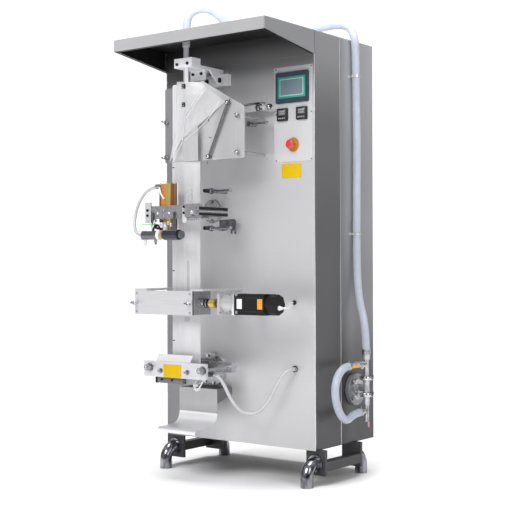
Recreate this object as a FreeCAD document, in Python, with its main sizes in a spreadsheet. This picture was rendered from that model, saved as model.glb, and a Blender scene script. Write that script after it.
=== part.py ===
import FreeCAD, Part
import math
import os
import re

import Sketcher
from FreeCAD import Placement, Rotation, Vector

# Driving sizes in millimetres. Places across the machine count from the
# cabinet's centre line, places in depth count from the front panel, and
# heights count from the floor. The units on the panel are drawn for a cabinet
# of the drawn height, and each rises by its share of a taller cabinet's growth.
SIZES = {
    # cabinet
    "cabinet_width": 825,
    "cabinet_depth": 470,
    "cabinet_height": 1770,
    "drawn_height": 1770,
    "ground_clearance": 150,
    "sheet": 3,
    "seam_depth": 200,
    "slot_x": -14,
    "slot_z": 1632,
    "slot_width": 336,
    "slot_height": 12,
    # hood over the filling tube
    "hood_reach": 350,
    "hood_front": 50,
    "hood_back": 100,
    "hood_sheet": 2,
    "hood_lip": 14,
    "hood_hole": 22,
    # underframe and curved feet
    "frame_overhang": 27.5,
    "leg_front": 32,
    "leg_pitch": 281,
    "leg_plate": 15,
    "leg_width": 97,
    "leg_bottom": 42,
    "beam_side": 40,
    "beam_bottom": 60,
    "foot_reach": 67,
    "foot_bend": 56,
    "foot_radius": 27,
    "foot_flange": 36,
    "foot_plate": 8,
    "foot_height": 93,
    # control panel
    "control_left": 205,
    "control_width": 199,
    "control_top": 1778,
    "control_height": 407,
    "control_sheet": 3,
    "screen_left": 220,
    "screen_bottom": 1622,
    "screen_width": 168,
    "screen_height": 132,
    "screen_depth": 9,
    "screen_corner": 6,
    "controller_side": 54,
    "controller_depth": 9,
    "controller_z": 1574,
    "controller_first": 253,
    "controller_pitch": 100,
    "stop_x": 306,
    "stop_z": 1443,
    "stop_plate": 30,
    "stop_collar": 13,
    "stop_collar_length": 8,
    "stop_stem": 8,
    "stop_travel": 6,
    "stop_head": 20,
    "stop_head_length": 14,
    # running gap of a shaft in its bore, and the gap beside soft pieces
    "running_gap": 0.05,
    "soft_gap": 0.4,
    # film
    "film_x": -125,
    "film_y": 200,
    "film_width": 158,
    "film_half": 14,
    "film_flat": 1.5,
    "film_top": 1380,
    "film_bottom": 492,
    "film_sheet": 1.5,
    # film former
    "former_left": -215,
    "former_right": 183,
    "former_bottom": 1382,
    "former_top": 1724,
    "former_shoulder": 1600,
    "former_peak": -40,
    "former_sheet": 4,
    "former_back": 181,
    "former_corner": 9,
    "carrier_left": -262,
    "carrier_width": 120,
    "carrier_height": 329,
    "rod_radius": 7,
    "thread_radius": 4,
    "nut_radius": 11,
    "nut_length": 13,
    "rod_low": 1407,
    "rod_high": 1561,
    "rod_left": -248,
    "rod_right": 152,
    "turning_bar": 6,
    "bar_top_x": 104,
    "bar_top_z": 1618,
    "bar_bottom_x": 0,
    "bar_bottom_z": 1395,
    # filling tube and its bracket
    "tube_x": -122,
    "tube_radius": 12.5,
    "tube_wall": 1.5,
    "tube_bottom": 620,
    "tube_top": 1900,
    "nozzle_share": 0.3,
    "tube_collar": 20,
    "block_width": 99,
    "block_depth": 60,
    "block_height": 40,
    "block_bottom": 1789,
    "bracket_left": -170,
    "bracket_width": 95,
    "bracket_plate": 12,
    "bracket_hanger": 44,
    "bracket_foot_left": -160,
    "bracket_foot_width": 128,
    "bracket_foot_depth": 27,
    "bracket_foot_height": 52,
    "bracket_gusset": 95,
    "bracket_rib": 10,
    # guide roller at the film slot
    "roller_radius": 15,
    "roller_left": -180,
    "roller_right": 134,
    "roller_y": 42,
    "roller_z": 1609,
    "roller_spindle": 6,
    "roller_cheek": 14,
    # clamp levers
    "lever_post": 8,
    "lever_hub": 11,
    "lever_hub_length": 24,
    "lever_arm": 4.5,
    "lever_ball": 8,
    "lever_x": -62,
    "lever_reach": 100,
    "lever_arm_length": 112,
    "lever_high": 1255,
    "lever_low": 1092,
    "hook_y": 28,
    "hook_sheet": 4,
    # vertical sealing unit
    "heater_x": -161,
    "heater_width": 70,
    "heater_depth": 40,
    "heater_height": 210,
    "heater_bottom": 1072,
    "heater_front": 300,
    "bar_left": -257,
    "bar_length": 306,
    "bar_height": 56,
    "bar_depth": 14,
    "bar_z": 1158,
    "slide_rod": 9,
    "slide_left": -243,
    "slide_right": 22,
    "yoke_front": 150,
    "yoke_depth": 24,
    "yoke_height": 40,
    "seal_flange": 52,
    "seal_flange_x": -133,
    "seal_flange_z": 1171,
    "seal_flange_sheet": 12,
    "seal_block_depth": 70,
    "seal_guide_pitch": 50,
    "seal_travel": 30,
    "press_y": 326,
    "press_z": 1060,
    "press_radius": 19,
    # pull roller unit
    "pull_left": -362,
    "pull_right": -31,
    "pull_front": 272,
    "pull_back": 150,
    "pull_plate": 10,
    "pull_cheek": 11,
    "pull_bottom": 717,
    "pull_height": 104,
    "drive_z": 769,
    "nip": 25,
    "tyre_radius": 18.5,
    "tyre_length": 30,
    "roller_shaft": 7,
    "arm_sheet": 8,
    "arm_width": 70,
    "coupling_radius": 20,
    "coupling_length": 34,
    "coupling_rubber": 25,
    "collar_gap": 4,
    "collar_length": 29,
    "gearbox_left": 103,
    "gearbox_length": 88,
    "gearbox_side": 90,
    "gearbox_flange": 12,
    "motor_side": 86,
    "motor_length": 153,
    "motor_cap": 44,
    # cross sealing unit
    "cross_x": -130,
    "cross_z": 480,
    "cross_flange": 74,
    "cross_flange_z": 464,
    "cross_flange_sheet": 14,
    "cross_pitch": 298,
    "cross_rod": 8,
    "cross_rod_z": 486,
    "cross_beam_front": 92,
    "cross_beam_depth": 30,
    "cross_beam_height": 44,
    "cross_plate_left": -315,
    "cross_plate_width": 350,
    "cross_plate_height": 68,
    "cross_plate_depth": 15,
    "cross_front": 265,
    "cross_travel": 16,
    "jaw_left": -262,
    "jaw_width": 257,
    "jaw_height": 56,
    "front_jaw_face": 225,
    "rear_jaw_face": 190,
    "rear_jaw_depth": 28,
    "acorn_radius": 15,
    "scoop_width": 195,
    "scoop_rise": 29,
    "scoop_sheet": 2,
    # discharge chute
    "chute_left": -248,
    "chute_width": 215,
    "chute_sheet": 2,
    "chute_back": 103,
    "chute_top": 389,
    "chute_bend": 56,
    "chute_floor": 227,
    "chute_reach": 256,
    "chute_lip": 20,
    "support_front_bottom": 327,
    "support_back_bottom": 356,
    # pump on the right side
    "pump_y": 298,
    "pump_z": 384,
    "pump_stand": 67,
    "pump_gasket": 69,
    "pump_plate": 65,
    "pump_pipe": 14,
    "pump_ferrule": 24,
    "pump_inlet": 7.5,
    "pump_bottom": 245,
    "pump_top": 538,
    "pump_neck": 319,
    "pump_spigot": 516,
    "clamp_low": 363,
    "clamp_high": 436,
    "clamp_reach": 38,
    "barrel_radius": 15,
    "barrel_collar": 18,
    "barrel_length": 80,
    "boss_radius": 13,
    "branch_z": 497,
    "branch_radius": 10,
    "branch_end": 162,
    "valve_y": 240,
    "valve_radius": 17,
    "return_z": 292,
    "return_end": 254,
    "lever_length": 92,
    "hose_radius": 17,
    # clips that hold the hose to the side
    "clip_sheet": 3,
    "clip_height": 12,
    "clip_foot": 26,
    "clip_high": 1759,
    "clip_low": 1066,
}

AXES = {
    "x": Rotation(Vector(0, 1, 0), 90),
    "-x": Rotation(Vector(0, 1, 0), -90),
    "y": Rotation(Vector(1, 0, 0), -90),
    "-y": Rotation(Vector(1, 0, 0), 90),
    "z": Rotation(),
    "-z": Rotation(Vector(1, 0, 0), 180),
}
STEPS = {"x": (1, 0, 0), "-x": (-1, 0, 0), "y": (0, 1, 0), "-y": (0, -1, 0), "z": (0, 0, 1), "-z": (0, 0, -1)}
# A plate drawn flat is turned to stand across the machine or along it.
FLAT = Rotation()
FRONT = Rotation(Vector(1, 0, 0), 90)
SIDE = Rotation(Vector(1, 1, 1), 120)

# The cabinet's centre line and the front panel, counted from the outline's middle.
CENTRE = "(-(pump_stand + clamp_reach - frame_overhang) / 2)"
PANEL = "((hood_reach - cabinet_depth) / 2)"
GROWTH = "(cabinet_height - drawn_height)"

doc = FreeCAD.newDocument("liquid_packing_machine")
cells = doc.addObject("Spreadsheet::Sheet", "sizes")
for row, (alias, number) in enumerate(SIZES.items(), 1):
    cells.set(f"A{row}", alias)
    cells.set(f"B{row}", str(number))
    cells.setAlias(f"B{row}", alias)
doc.recompute()

nodes = []
rise = 0


def size(name):
    return float(cells.get(name))


def bound(formula):
    """The formula with each size written as a cell of the sheet."""
    return re.sub(r"[a-z_]+", lambda word: f"sizes.{word[0]}" if word[0] in SIZES else word[0], str(formula))


def lifted(height, share):
    """A height that moves by its share of the cabinet's growth."""
    return height + share * (size("cabinet_height") - size("drawn_height"))


def bind(item, **formulas):
    for name, formula in formulas.items():
        item.setExpression(name, bound(formula))
    return item


def locate(item, x, y, z, turn=None):
    """Place an item from the centre line, the front panel and the floor."""
    if turn is not None:
        item.Placement = Placement(Vector(), turn)
    item.setExpression("Placement.Base.x", bound(f"{CENTRE} + {x}"))
    item.setExpression("Placement.Base.y", bound(f"{PANEL} + {y}"))
    item.setExpression("Placement.Base.z", bound(f"{z} + {rise} * {GROWTH}"))
    return item


def box(x, y, z, length, width, height):
    item = doc.addObject("Part::Box", "box")
    bind(item, Length=length, Width=width, Height=height)
    return locate(item, x, y, z)


def rod(x, y, z, radius, length, axis="z"):
    item = doc.addObject("Part::Cylinder", "rod")
    bind(item, Radius=radius, Height=length)
    return locate(item, x, y, z, AXES[axis])


def cone(x, y, z, first, last, length, axis="z"):
    item = doc.addObject("Part::Cone", "cone")
    bind(item, Radius1=first, Radius2=last, Height=length)
    return locate(item, x, y, z, AXES[axis])


def ball(x, y, z, radius):
    item = doc.addObject("Part::Sphere", "ball")
    bind(item, Radius=radius)
    return locate(item, x, y, z)


def prism(x, y, z, sides, radius, length, axis="z"):
    item = doc.addObject("Part::Prism", "prism")
    item.Polygon = sides
    bind(item, Circumradius=radius, Height=length)
    return locate(item, x, y, z, AXES[axis])


def stack(x, y, z, steps, axis="z"):
    """Cylinders end to end along an axis, each given by its radius and length."""
    pieces = []
    gone = "0"
    for radius, length in steps:
        dx, dy, dz = (f" + {step} * ({gone})" for step in STEPS[axis])
        pieces.append(rod(f"{x}{dx}", f"{y}{dy}", f"{z}{dz}", radius, length, axis))
        gone = f"{gone} + {length}"
    return fused(*pieces)


def fused(*items):
    item = doc.addObject("Part::MultiFuse", "fused")
    item.Shapes = list(items)
    return item


def cut(base, *tools):
    item = doc.addObject("Part::Cut", "cut")
    item.Base = base
    item.Tool = tools[0] if len(tools) == 1 else fused(*tools)
    return item


def together(*items):
    item = doc.addObject("Part::Compound", "together")
    item.Links = list(items)
    return item


def node(name, item):
    item.Label = name
    nodes.append(item)
    return item


def made(shape):
    """A shape worked out in code, placed by the centre line and the front panel."""
    item = doc.addObject("Part::Feature", "made")
    item.Shape = shape
    return locate(item, "0", "0", "0")


def plate(corners, thickness, x, y, z, turn=FLAT, corner=None):
    """A padded outline as a body with one sketch, its corners rounded if asked."""
    body = doc.addObject("PartDesign::Body", "plate")
    locate(body, x, y, z, turn)
    sketch = body.newObject("Sketcher::SketchObject", "outline")
    plane = [item for item in body.Origin.OriginFeatures if item.Role == "XY_Plane"][0]
    sketch.AttachmentSupport = (plane, [""])
    sketch.MapMode = "FlatFace"
    count = len(corners)
    ring = [Vector(math.cos(-2.4 + 2 * math.pi * i / count), math.sin(-2.4 + 2 * math.pi * i / count), 0) * 50
            for i in range(count)]
    for index in range(count):
        sketch.addGeometry(Part.LineSegment(ring[index], ring[(index + 1) % count]), False)
    for index in range(count):
        sketch.addConstraint(Sketcher.Constraint("Coincident", index, 2, (index + 1) % count, 1))
    for index, place in enumerate(corners):
        for kind, axis, formula in (("DistanceX", -2, place[0]), ("DistanceY", -1, place[1])):
            if str(formula) == "0":
                sketch.addConstraint(Sketcher.Constraint("PointOnObject", index, 1, axis))
                continue
            start = ring[index].x if kind == "DistanceX" else ring[index].y
            number = sketch.addConstraint(Sketcher.Constraint(kind, -1, 1, index, 1, start))
            sketch.setExpression(f"Constraints[{number}]", bound(formula))
    pad = body.newObject("PartDesign::Pad", "pad")
    pad.Profile = sketch
    pad.setExpression("Length", bound(thickness))
    doc.recompute()
    if corner is not None:
        upright = [f"Edge{i}" for i, edge in enumerate(pad.Shape.Edges, 1)
                   if abs(edge.tangentAt(edge.FirstParameter).z) > 0.99]
        fillet = body.newObject("PartDesign::Fillet", "rounding")
        fillet.Base = (pad, upright)
        fillet.setExpression("Radius", bound(corner))
        body.Tip = fillet
    return body


def rectangle(width, height):
    return [("0", "0"), (width, "0"), (width, height), ("0", height)]


def route(points, share=0.45):
    """Straight runs joined by tangent arcs, as one wire, with the arcs' radii."""
    points = [Vector(*point) for point in points]
    edges = []
    radii = []
    start = points[0]
    for before, bend, after in zip(points, points[1:], points[2:]):
        back = (before - bend).normalize()
        ahead = (after - bend).normalize()
        turn = math.pi - back.getAngle(ahead)
        reach = share * min((before - bend).Length, (after - bend).Length)
        radius = reach / math.tan(turn / 2)
        inward = (back + ahead).normalize()
        middle = bend + inward * (radius / math.cos(turn / 2) - radius)
        first = bend + back * reach
        last = bend + ahead * reach
        edges.append(Part.LineSegment(start, first).toShape())
        edges.append(Part.Arc(first, middle, last).toShape())
        radii.append(radius)
        start = last
    edges.append(Part.LineSegment(start, points[-1]).toShape())
    return Part.Wire(edges), radii


def cord(name, points, radius):
    """A plain round cord along a route of straight runs and arcs."""
    wire, radii = route(points)
    start = Vector(*points[0])
    ahead = Vector(*points[1]) - start
    section = Part.Wire([Part.Circle(start, ahead, radius).toShape()])
    solid = wire.makePipeShell([section], True, False)
    expected = math.pi * radius ** 2 * wire.Length
    print(name, "length", round(wire.Length), "radii", [round(item) for item in radii],
          "volume share", round(solid.Volume / expected, 4))
    node(name, made(solid))
    return wire


def thin_sheet(corners, triangles, way):
    """A folded film drawn as triangles that share edges, thickened one way."""
    corners = [Vector(*corner) for corner in corners]
    pieces = []
    for indices in triangles:
        ring = [corners[index] for index in indices]
        face = Part.Face(Part.makePolygon(ring + ring[:1]))
        pieces.append(face.extrude(Vector(*way)))
    return pieces[0].fuse(pieces[1:]).removeSplitter()


def cabinet():
    height = "cabinet_height - 2 * sheet"
    floor = "ground_clearance + sheet"
    panel = plate(rectangle("cabinet_width", "cabinet_height"), "sheet",
                  "-cabinet_width / 2", "sheet", "ground_clearance", FRONT, "sheet / 2")
    slot = box("slot_x - slot_width / 2", "-sheet", f"slot_z - slot_height / 2 + {GROWTH}",
               "slot_width", "3 * sheet", "slot_height")
    node("front_panel", cut(panel, slot))
    left = "-cabinet_width / 2"
    right = "cabinet_width / 2 - sheet"
    node("left_side_panel", box(left, "sheet", floor, "sheet", "cabinet_depth - 2 * sheet", height))
    node("right_side_panel", box(right, "sheet", floor, "sheet", "seam_depth - sheet", height))
    node("right_service_panel", box(right, "seam_depth", floor, "sheet",
                                    "cabinet_depth - sheet - seam_depth", height))
    node("back_panel", box(left, "cabinet_depth - sheet", "ground_clearance",
                           "cabinet_width", "sheet", "cabinet_height"))
    top = "ground_clearance + cabinet_height - sheet"
    for name, level in (("top_panel", top), ("base_panel", "ground_clearance")):
        node(name, box(left, "sheet", level, "cabinet_width", "cabinet_depth - 2 * sheet", "sheet"))


def hood():
    base = "(ground_clearance + cabinet_height - hood_back)"
    drop = "(hood_back - hood_front)"
    outline = [("0", drop), ("hood_reach", "0"), ("hood_reach", "hood_back"), ("0", "hood_back")]
    outer = plate(outline, "cabinet_width", "-cabinet_width / 2", "-hood_reach", base, SIDE)
    slope = f"{drop} / hood_reach"
    hollow = [("0", f"{drop} - hood_sheet * ({slope} - 1)"),
              ("hood_reach - 2 * hood_sheet", f"hood_sheet + hood_sheet * {slope}"),
              ("hood_reach - 2 * hood_sheet", "hood_back - hood_sheet"),
              ("0", "hood_back - hood_sheet")]
    inner = plate(hollow, "cabinet_width - 2 * hood_sheet", "-cabinet_width / 2 + hood_sheet",
                  "-hood_reach + hood_sheet", base, SIDE)
    mouth = box("-cabinet_width / 2 + hood_lip", "-hood_reach + hood_lip", f"{base} - 1",
                "cabinet_width - 2 * hood_lip", "hood_reach - hood_lip - hood_sheet", "hood_back / 2 + hood_lip")
    hole = rod("tube_x", "-film_y", "ground_clearance + cabinet_height - 2 * hood_sheet",
               "hood_hole", "3 * hood_sheet")
    node("hood", cut(outer, inner, mouth, hole))


def underframe():
    outer = "(cabinet_width / 2 + frame_overhang)"
    frames = []
    for side in (-1, 1):
        x = f"-{outer}" if side < 0 else f"{outer} - leg_width"
        top = "ground_clearance - leg_bottom"
        front = box(x, "leg_front", "leg_bottom", "leg_width", "leg_plate", top)
        rear = box(x, "leg_front + leg_pitch", "leg_bottom", "leg_width", "leg_plate", top)
        beam_x = f"-{outer}" if side < 0 else f"{outer} - beam_side"
        beam = box(beam_x, "leg_front + leg_plate", "beam_bottom", "beam_side", "leg_pitch - leg_plate", "beam_side")
        frames.append(fused(front, rear, beam))
    node("side_frames", together(*frames))


def curved_feet():
    """Round feet that leave a flange on the leg and turn down to the floor."""
    outer = "(cabinet_width / 2 + frame_overhang - leg_width / 2)"
    feet = []
    for way, face, axis in ((-1, "leg_front", "-y"), (1, "leg_front + leg_pitch + leg_plate", "y")):
        for side in (-1, 1):
            x = f"{side} * {outer}"
            run = "(foot_reach - foot_plate - foot_bend)"
            flange = rod(x, face, "foot_height", "foot_flange", "foot_plate", axis)
            neck = rod(x, f"{face} + {way} * foot_plate", "foot_height", "foot_radius", run, axis)
            bend = doc.addObject("Part::Torus", "bend")
            bind(bend, Radius1="foot_bend", Radius2="foot_radius", Angle3="90")
            turn = Rotation(Vector(0, 0, 1), 90 * way) * Rotation(Vector(1, 0, 0), 90)
            locate(bend, x, f"{face} + {way} * (foot_reach - foot_bend)", "foot_height - foot_bend", turn)
            post = rod(x, f"{face} + {way} * foot_reach", "0", "foot_radius", "foot_height - foot_bend")
            feet.append(fused(flange, neck, bend, post))
    node("curved_feet", together(*feet))


def control_panel():
    face = "-control_sheet"
    node("control_panel", plate(rectangle("control_width", "control_height"), "control_sheet",
                                "control_left", "0", "control_top - control_height", FRONT, "control_sheet"))
    node("touch_screen", plate(rectangle("screen_width", "screen_height"), "screen_depth",
                               "screen_left", face, "screen_bottom", FRONT, "screen_corner"))
    controllers = []
    for index in (0, 1):
        x = f"controller_first + {index} * controller_pitch - controller_side / 2"
        controllers.append(plate(rectangle("controller_side", "controller_side"), "controller_depth",
                                 x, face, "controller_z - controller_side / 2", FRONT, "control_sheet"))
    node("temperature_controllers", together(*controllers))
    collar = stack("stop_x", face, "stop_z", [("stop_plate", "2"), ("stop_collar", "stop_collar_length")], "-y")
    bore = rod("stop_x", face, "stop_z", "stop_stem + running_gap", "2 + stop_collar_length", "-y")
    node("emergency_stop_base", cut(collar, bore))
    mouth = f"{face} - 2 - stop_collar_length"
    stem = rod("stop_x", f"{mouth} + 1", "stop_z", "stop_stem", "stop_travel + 4", "-y")
    head = cone("stop_x", f"{mouth} - stop_travel - 2", "stop_z", "stop_collar + 2", "stop_head",
                "stop_head_length / 2", "-y")
    cap = cone("stop_x", f"{mouth} - stop_travel - 2 - stop_head_length / 2", "stop_z", "stop_head",
               "stop_head - 4", "stop_head_length / 2", "-y")
    node("emergency_stop_button", fused(stem, head, cap))


def former():
    corners = [("0", "0"), ("former_right - former_left", "0"),
               ("former_right - former_left", "former_shoulder - former_bottom"),
               ("former_peak - former_left", "former_top - former_bottom"),
               ("0", "former_top - former_bottom")]
    front = plate(corners, "former_sheet", "former_left", "-former_back", "former_bottom", FRONT, "former_corner")
    carrier_back = "(-former_back + former_sheet)"
    carrier = plate(rectangle("carrier_width", "carrier_height"), "former_sheet",
                    "carrier_left", carrier_back, "former_bottom", FRONT, "former_corner")
    rods = []
    holes = {"rod_left": [], "rod_right": []}
    for x, back in (("rod_left", carrier_back), ("rod_right", "(-former_back)")):
        for z in ("rod_low", "rod_high"):
            shank = rod(x, "0", z, "rod_radius", f"-{back}", "-y")
            thread = rod(x, back, z, "thread_radius", "former_sheet + nut_length + 3", "-y")
            nut = prism(x, f"{back} - former_sheet", z, 6, "nut_radius", "nut_length", "-y")
            rods.append(fused(shank, thread, nut))
            holes[x].append(rod(x, f"{back} + 1", z, "thread_radius + soft_gap", "former_sheet + 2", "-y"))
    node("former_plate", cut(front, *holes["rod_right"]))
    node("former_carrier", cut(carrier, *holes["rod_left"]))
    node("former_rods", together(*rods))
    top = Vector(size("bar_top_x"), 0, size("bar_top_z"))
    bottom = Vector(size("bar_bottom_x"), 0, size("bar_bottom_z"))
    lean = math.degrees(math.atan2(top.x - bottom.x, top.z - bottom.z))
    bar_y = "(-former_back - former_sheet - 2 * turning_bar)"
    bar = rod(bottom.x, bar_y, bottom.z, "turning_bar", (top - bottom).Length)
    bar.Placement.Rotation = Rotation(Vector(0, 1, 0), lean)
    face = "-former_back - former_sheet"
    ends = [stack(place.x, face, place.z, [("turning_bar + 2", "2 * turning_bar"), ("turning_bar + 4", "9")], "-y")
            for place in (bottom, top)]
    node("film_turning_bar", fused(bar, *ends))


def filling_tube():
    drop = f"(tube_bottom - (1 - nozzle_share) * {GROWTH})"
    outside = rod("tube_x", "-film_y", drop, "tube_radius", f"tube_top - {drop}")
    collar = rod("tube_x", "-film_y", "tube_top - tube_collar", "hose_radius", "tube_collar")
    inside = rod("tube_x", "-film_y", f"{drop} - 1", "tube_radius - tube_wall", f"tube_top - {drop} + 2")
    node("filling_tube", cut(fused(outside, collar), inside))
    front = "(-film_y - block_depth / 3)"
    block = box("film_x - block_width / 2", front, "block_bottom", "block_width", "block_depth", "block_height")
    bore = rod("tube_x", "-film_y", "block_bottom - 1", "tube_radius + running_gap", "block_height + 2")
    behind = f"({front} + block_depth)"
    arm = box("bracket_left", behind, "block_bottom", "bracket_width", f"-{behind}", "bracket_plate")
    hanger = box("bracket_left", f"{behind} + bracket_hanger", "block_bottom - bracket_hanger",
                 "bracket_width - bracket_plate", "bracket_rib", "bracket_hanger")
    low = "(block_bottom - bracket_foot_height - bracket_plate + 1)"
    foot = box("bracket_foot_left", "-bracket_foot_depth", low, "bracket_foot_width", "bracket_foot_depth",
               "bracket_foot_height")
    rise_to_arm = f"block_bottom - {low}"
    web = [("0", rise_to_arm), ("bracket_gusset - bracket_foot_depth", "0"), ("bracket_gusset", "0"),
           ("bracket_gusset", rise_to_arm)]
    ribs = [plate(web, "bracket_rib", x, "-bracket_gusset", low, SIDE)
            for x in ("bracket_foot_left", "bracket_left + bracket_width - bracket_rib")]
    node("tube_bracket", fused(cut(block, bore), arm, hanger, foot, *ribs))


def film():
    half = size("film_width") / 2
    flat = size("film_flat")
    gap = size("soft_gap")
    x = size("film_x")
    y = -size("film_y")
    middle = size("tube_x")
    top = lifted(size("film_top"), 1)
    low = lifted(size("film_bottom"), 0.1)
    nozzle = lifted(size("tube_bottom"), size("nozzle_share"))

    def section(z, thick):
        corners = [Vector(x - half, y - flat, z), Vector(middle, y - thick, z), Vector(x + half, y - flat, z),
                   Vector(x + half, y + flat, z), Vector(middle, y + thick, z), Vector(x - half, y + flat, z)]
        return Part.makePolygon(corners + corners[:1])

    body = Part.makeLoft([section(low, flat + 0.5), section(nozzle, size("film_half")),
                          section(top, size("film_half"))], True, True)
    bore = Part.makeCylinder(size("tube_radius") + gap, top - nozzle + gap + 1, Vector(middle, y, nozzle - gap))
    node("film_sleeve", made(body.cut(bore)))
    plate_face = -size("former_back") - size("former_sheet") - gap
    front = y - size("film_half") - gap
    peak = size("former_peak")
    shoulder = lifted(size("former_shoulder"), 1)
    crown = lifted(size("former_top"), 1)
    left = middle - 41
    right = middle + 9
    corners = [(left, front, crown + 6), (right, front, crown + 1), (right, front - 5, shoulder - 19),
               (x - 70, front, top + 2), (x - 80, front, top + 2), (peak - 8, plate_face, crown - 2),
               (peak + 24, plate_face, crown - 31), (peak + 124, plate_face, shoulder + 26),
               (x - 13, front - 4, top + 92)]
    triangles = [(0, 1, 2), (0, 2, 3), (0, 3, 4), (1, 5, 6), (1, 6, 2), (2, 6, 7), (2, 7, 8), (2, 8, 3)]
    node("folded_film", made(thin_sheet(corners, triangles, (0, -size("film_sheet"), 0))))
    back = -size("former_back") + gap * 2
    lift = lifted(size("roller_z"), 1) + size("roller_radius") + gap
    left = size("slot_x") - size("slot_width") / 2 + 12
    right = size("slot_x") + size("slot_width") / 2 - 20
    slot = lifted(size("slot_z"), 1) - 3
    turn_y = -size("roller_y")
    corners = [(left, -2, slot), (right, -2, slot), (left, turn_y, lift), (right, turn_y, lift),
               (peak, back, crown + 1), (size("former_right") - 12, back, shoulder + 8)]
    triangles = [(0, 1, 2), (1, 3, 2), (2, 3, 5), (2, 5, 4)]
    node("film_web", made(thin_sheet(corners, triangles, (0, 0, size("film_sheet")))))


def clamp_lever(x, reach, z, length):
    """A lever on a post from the panel, its arm along the machine's width."""
    post = rod(x, "0", z, "lever_post", reach, "-y")
    hub = rod(x, f"-({reach})", z, "lever_hub", "lever_hub_length", "-y")
    middle = f"-({reach}) - lever_hub_length / 2"
    arm = rod(x, middle, z, "lever_arm", length, "x")
    return fused(post, hub, arm, ball(f"{x} + {length}", middle, z, "lever_ball"))


def guide_roller():
    spindle_y = "-roller_y"
    length = "roller_right - roller_left"
    body = rod("roller_left", spindle_y, "roller_z", "roller_radius", length, "x")
    bore = rod("roller_left", spindle_y, "roller_z", "roller_spindle + running_gap", length, "x")
    node("film_guide_roller", cut(body, bore))
    cheeks = []
    for x in ("roller_left - 6 - roller_cheek", "roller_right + 36"):
        cheeks.append(box(x, "-roller_y - roller_radius", "roller_z - roller_radius", "roller_cheek",
                          "roller_y + roller_radius", "2 * roller_radius"))
    spindle = rod("roller_left - 6", spindle_y, "roller_z", "roller_spindle", f"{length} + 42", "x")
    collar = rod("roller_right + 6", spindle_y, "roller_z", "roller_spindle + 5", "30", "x")
    end = rod("roller_right + 36 + roller_cheek", spindle_y, "roller_z", "roller_spindle + 4", "14", "x")
    node("guide_roller_brackets", fused(spindle, collar, end, *cheeks))
    node("roller_clamp_lever", clamp_lever("104", "28", "roller_z - 67", "88"))


def vertical_sealer():
    """A yoke behind the film carries the front bar and its heater past the film's edges."""
    flange_x, flange_z = "seal_flange_x", "seal_flange_z"
    block_front = "(-seal_flange_sheet - seal_block_depth)"
    flange = rod(flange_x, "0", flange_z, "seal_flange", "seal_flange_sheet", "-y")
    block = box(f"{flange_x} - 42", block_front, "bar_z - yoke_height / 2", "84", "seal_block_depth", "yoke_height")
    bores = [rod(f"{flange_x} + {side} * seal_guide_pitch / 2", f"{block_front} - 1", "bar_z",
                 "slide_rod + running_gap", "seal_block_depth + seal_flange_sheet - 3", "y") for side in (-1, 1)]
    node("vertical_seal_mount", cut(fused(flange, block), *bores))
    yoke_back = "(-yoke_front + yoke_depth)"
    pieces = [box("bar_left", "-yoke_front", "bar_z - yoke_height / 2", "bar_length", "yoke_depth", "yoke_height")]
    for side in (-1, 1):
        pieces.append(rod(f"{flange_x} + {side} * seal_guide_pitch / 2", yoke_back, "bar_z", "slide_rod",
                          f"-{yoke_back} - seal_travel - 10", "y"))
    for x in ("slide_left", "slide_right"):
        pieces.append(rod(x, "-yoke_front", "bar_z", "slide_rod", "heater_front - yoke_front", "-y"))
    face = "(-heater_front - bar_depth)"
    pieces.append(box("bar_left", face, "bar_z - bar_height / 2", "bar_length", "bar_depth", "bar_height"))
    pieces.append(box("bar_left + bar_length - 75", f"{face} - 12", "bar_z - bar_height / 2 + 4", "75", "12", "60"))
    pieces.append(prism("slide_right + 8", f"{face} - 12", "bar_z", 6, "15", "14", "-y"))
    pieces.append(box("bar_left", f"{face} - 5", "bar_z - bar_height / 2 - 16", "34", "5", "88"))
    pieces.append(box("bar_left + bar_length - 72", f"{face} - 6", "bar_z + 15", "30", "6", "76"))
    node("vertical_seal_frame", fused(*pieces))
    bars = (("0.12", "4"), ("0.27", "1"), ("0.3", "0"), ("0.15", "3"), ("0.16", "4"))
    outline = []
    gone = "0"
    for width, back in bars:
        outline.append((f"heater_width * ({gone})", back))
        gone = f"{gone} + {width}"
        outline.append((f"heater_width * ({gone})", back))
    outline += [("heater_width", "heater_depth"), ("0", "heater_depth")]
    node("vertical_heater", plate(outline, "heater_height", "heater_x - heater_width / 2", "-heater_front",
                                  "heater_bottom"))
    left = stack("-264", "-press_y", "press_z", [("press_radius", "98"), ("press_radius - 7", "26"),
                                                ("press_radius - 2", "100")], "x")
    straps = [box(x, face + " - 9", "press_z", "8", "9", "bar_z - press_z") for x in ("-215", "-95")]
    node("pressing_cylinders", fused(left, *straps))
    hook = [("0", "63"), ("84", "65"), ("92", "58"), ("93", "0"), ("84", "0"), ("84", "14"), ("72", "14"),
            ("72", "0"), ("64", "0"), ("64", "28"), ("42", "30"), ("26", "14"), ("0", "14")]
    hooked = plate(hook, "hook_sheet", "lever_x - 14", "-hook_y", "lever_low - 24", FRONT)
    lower = clamp_lever("lever_x", "lever_reach", "lever_low", "lever_arm_length")
    node("clamp_levers", together(clamp_lever("lever_x", "lever_reach", "lever_high", "lever_arm_length"),
                                  fused(lower, hooked)))


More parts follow.
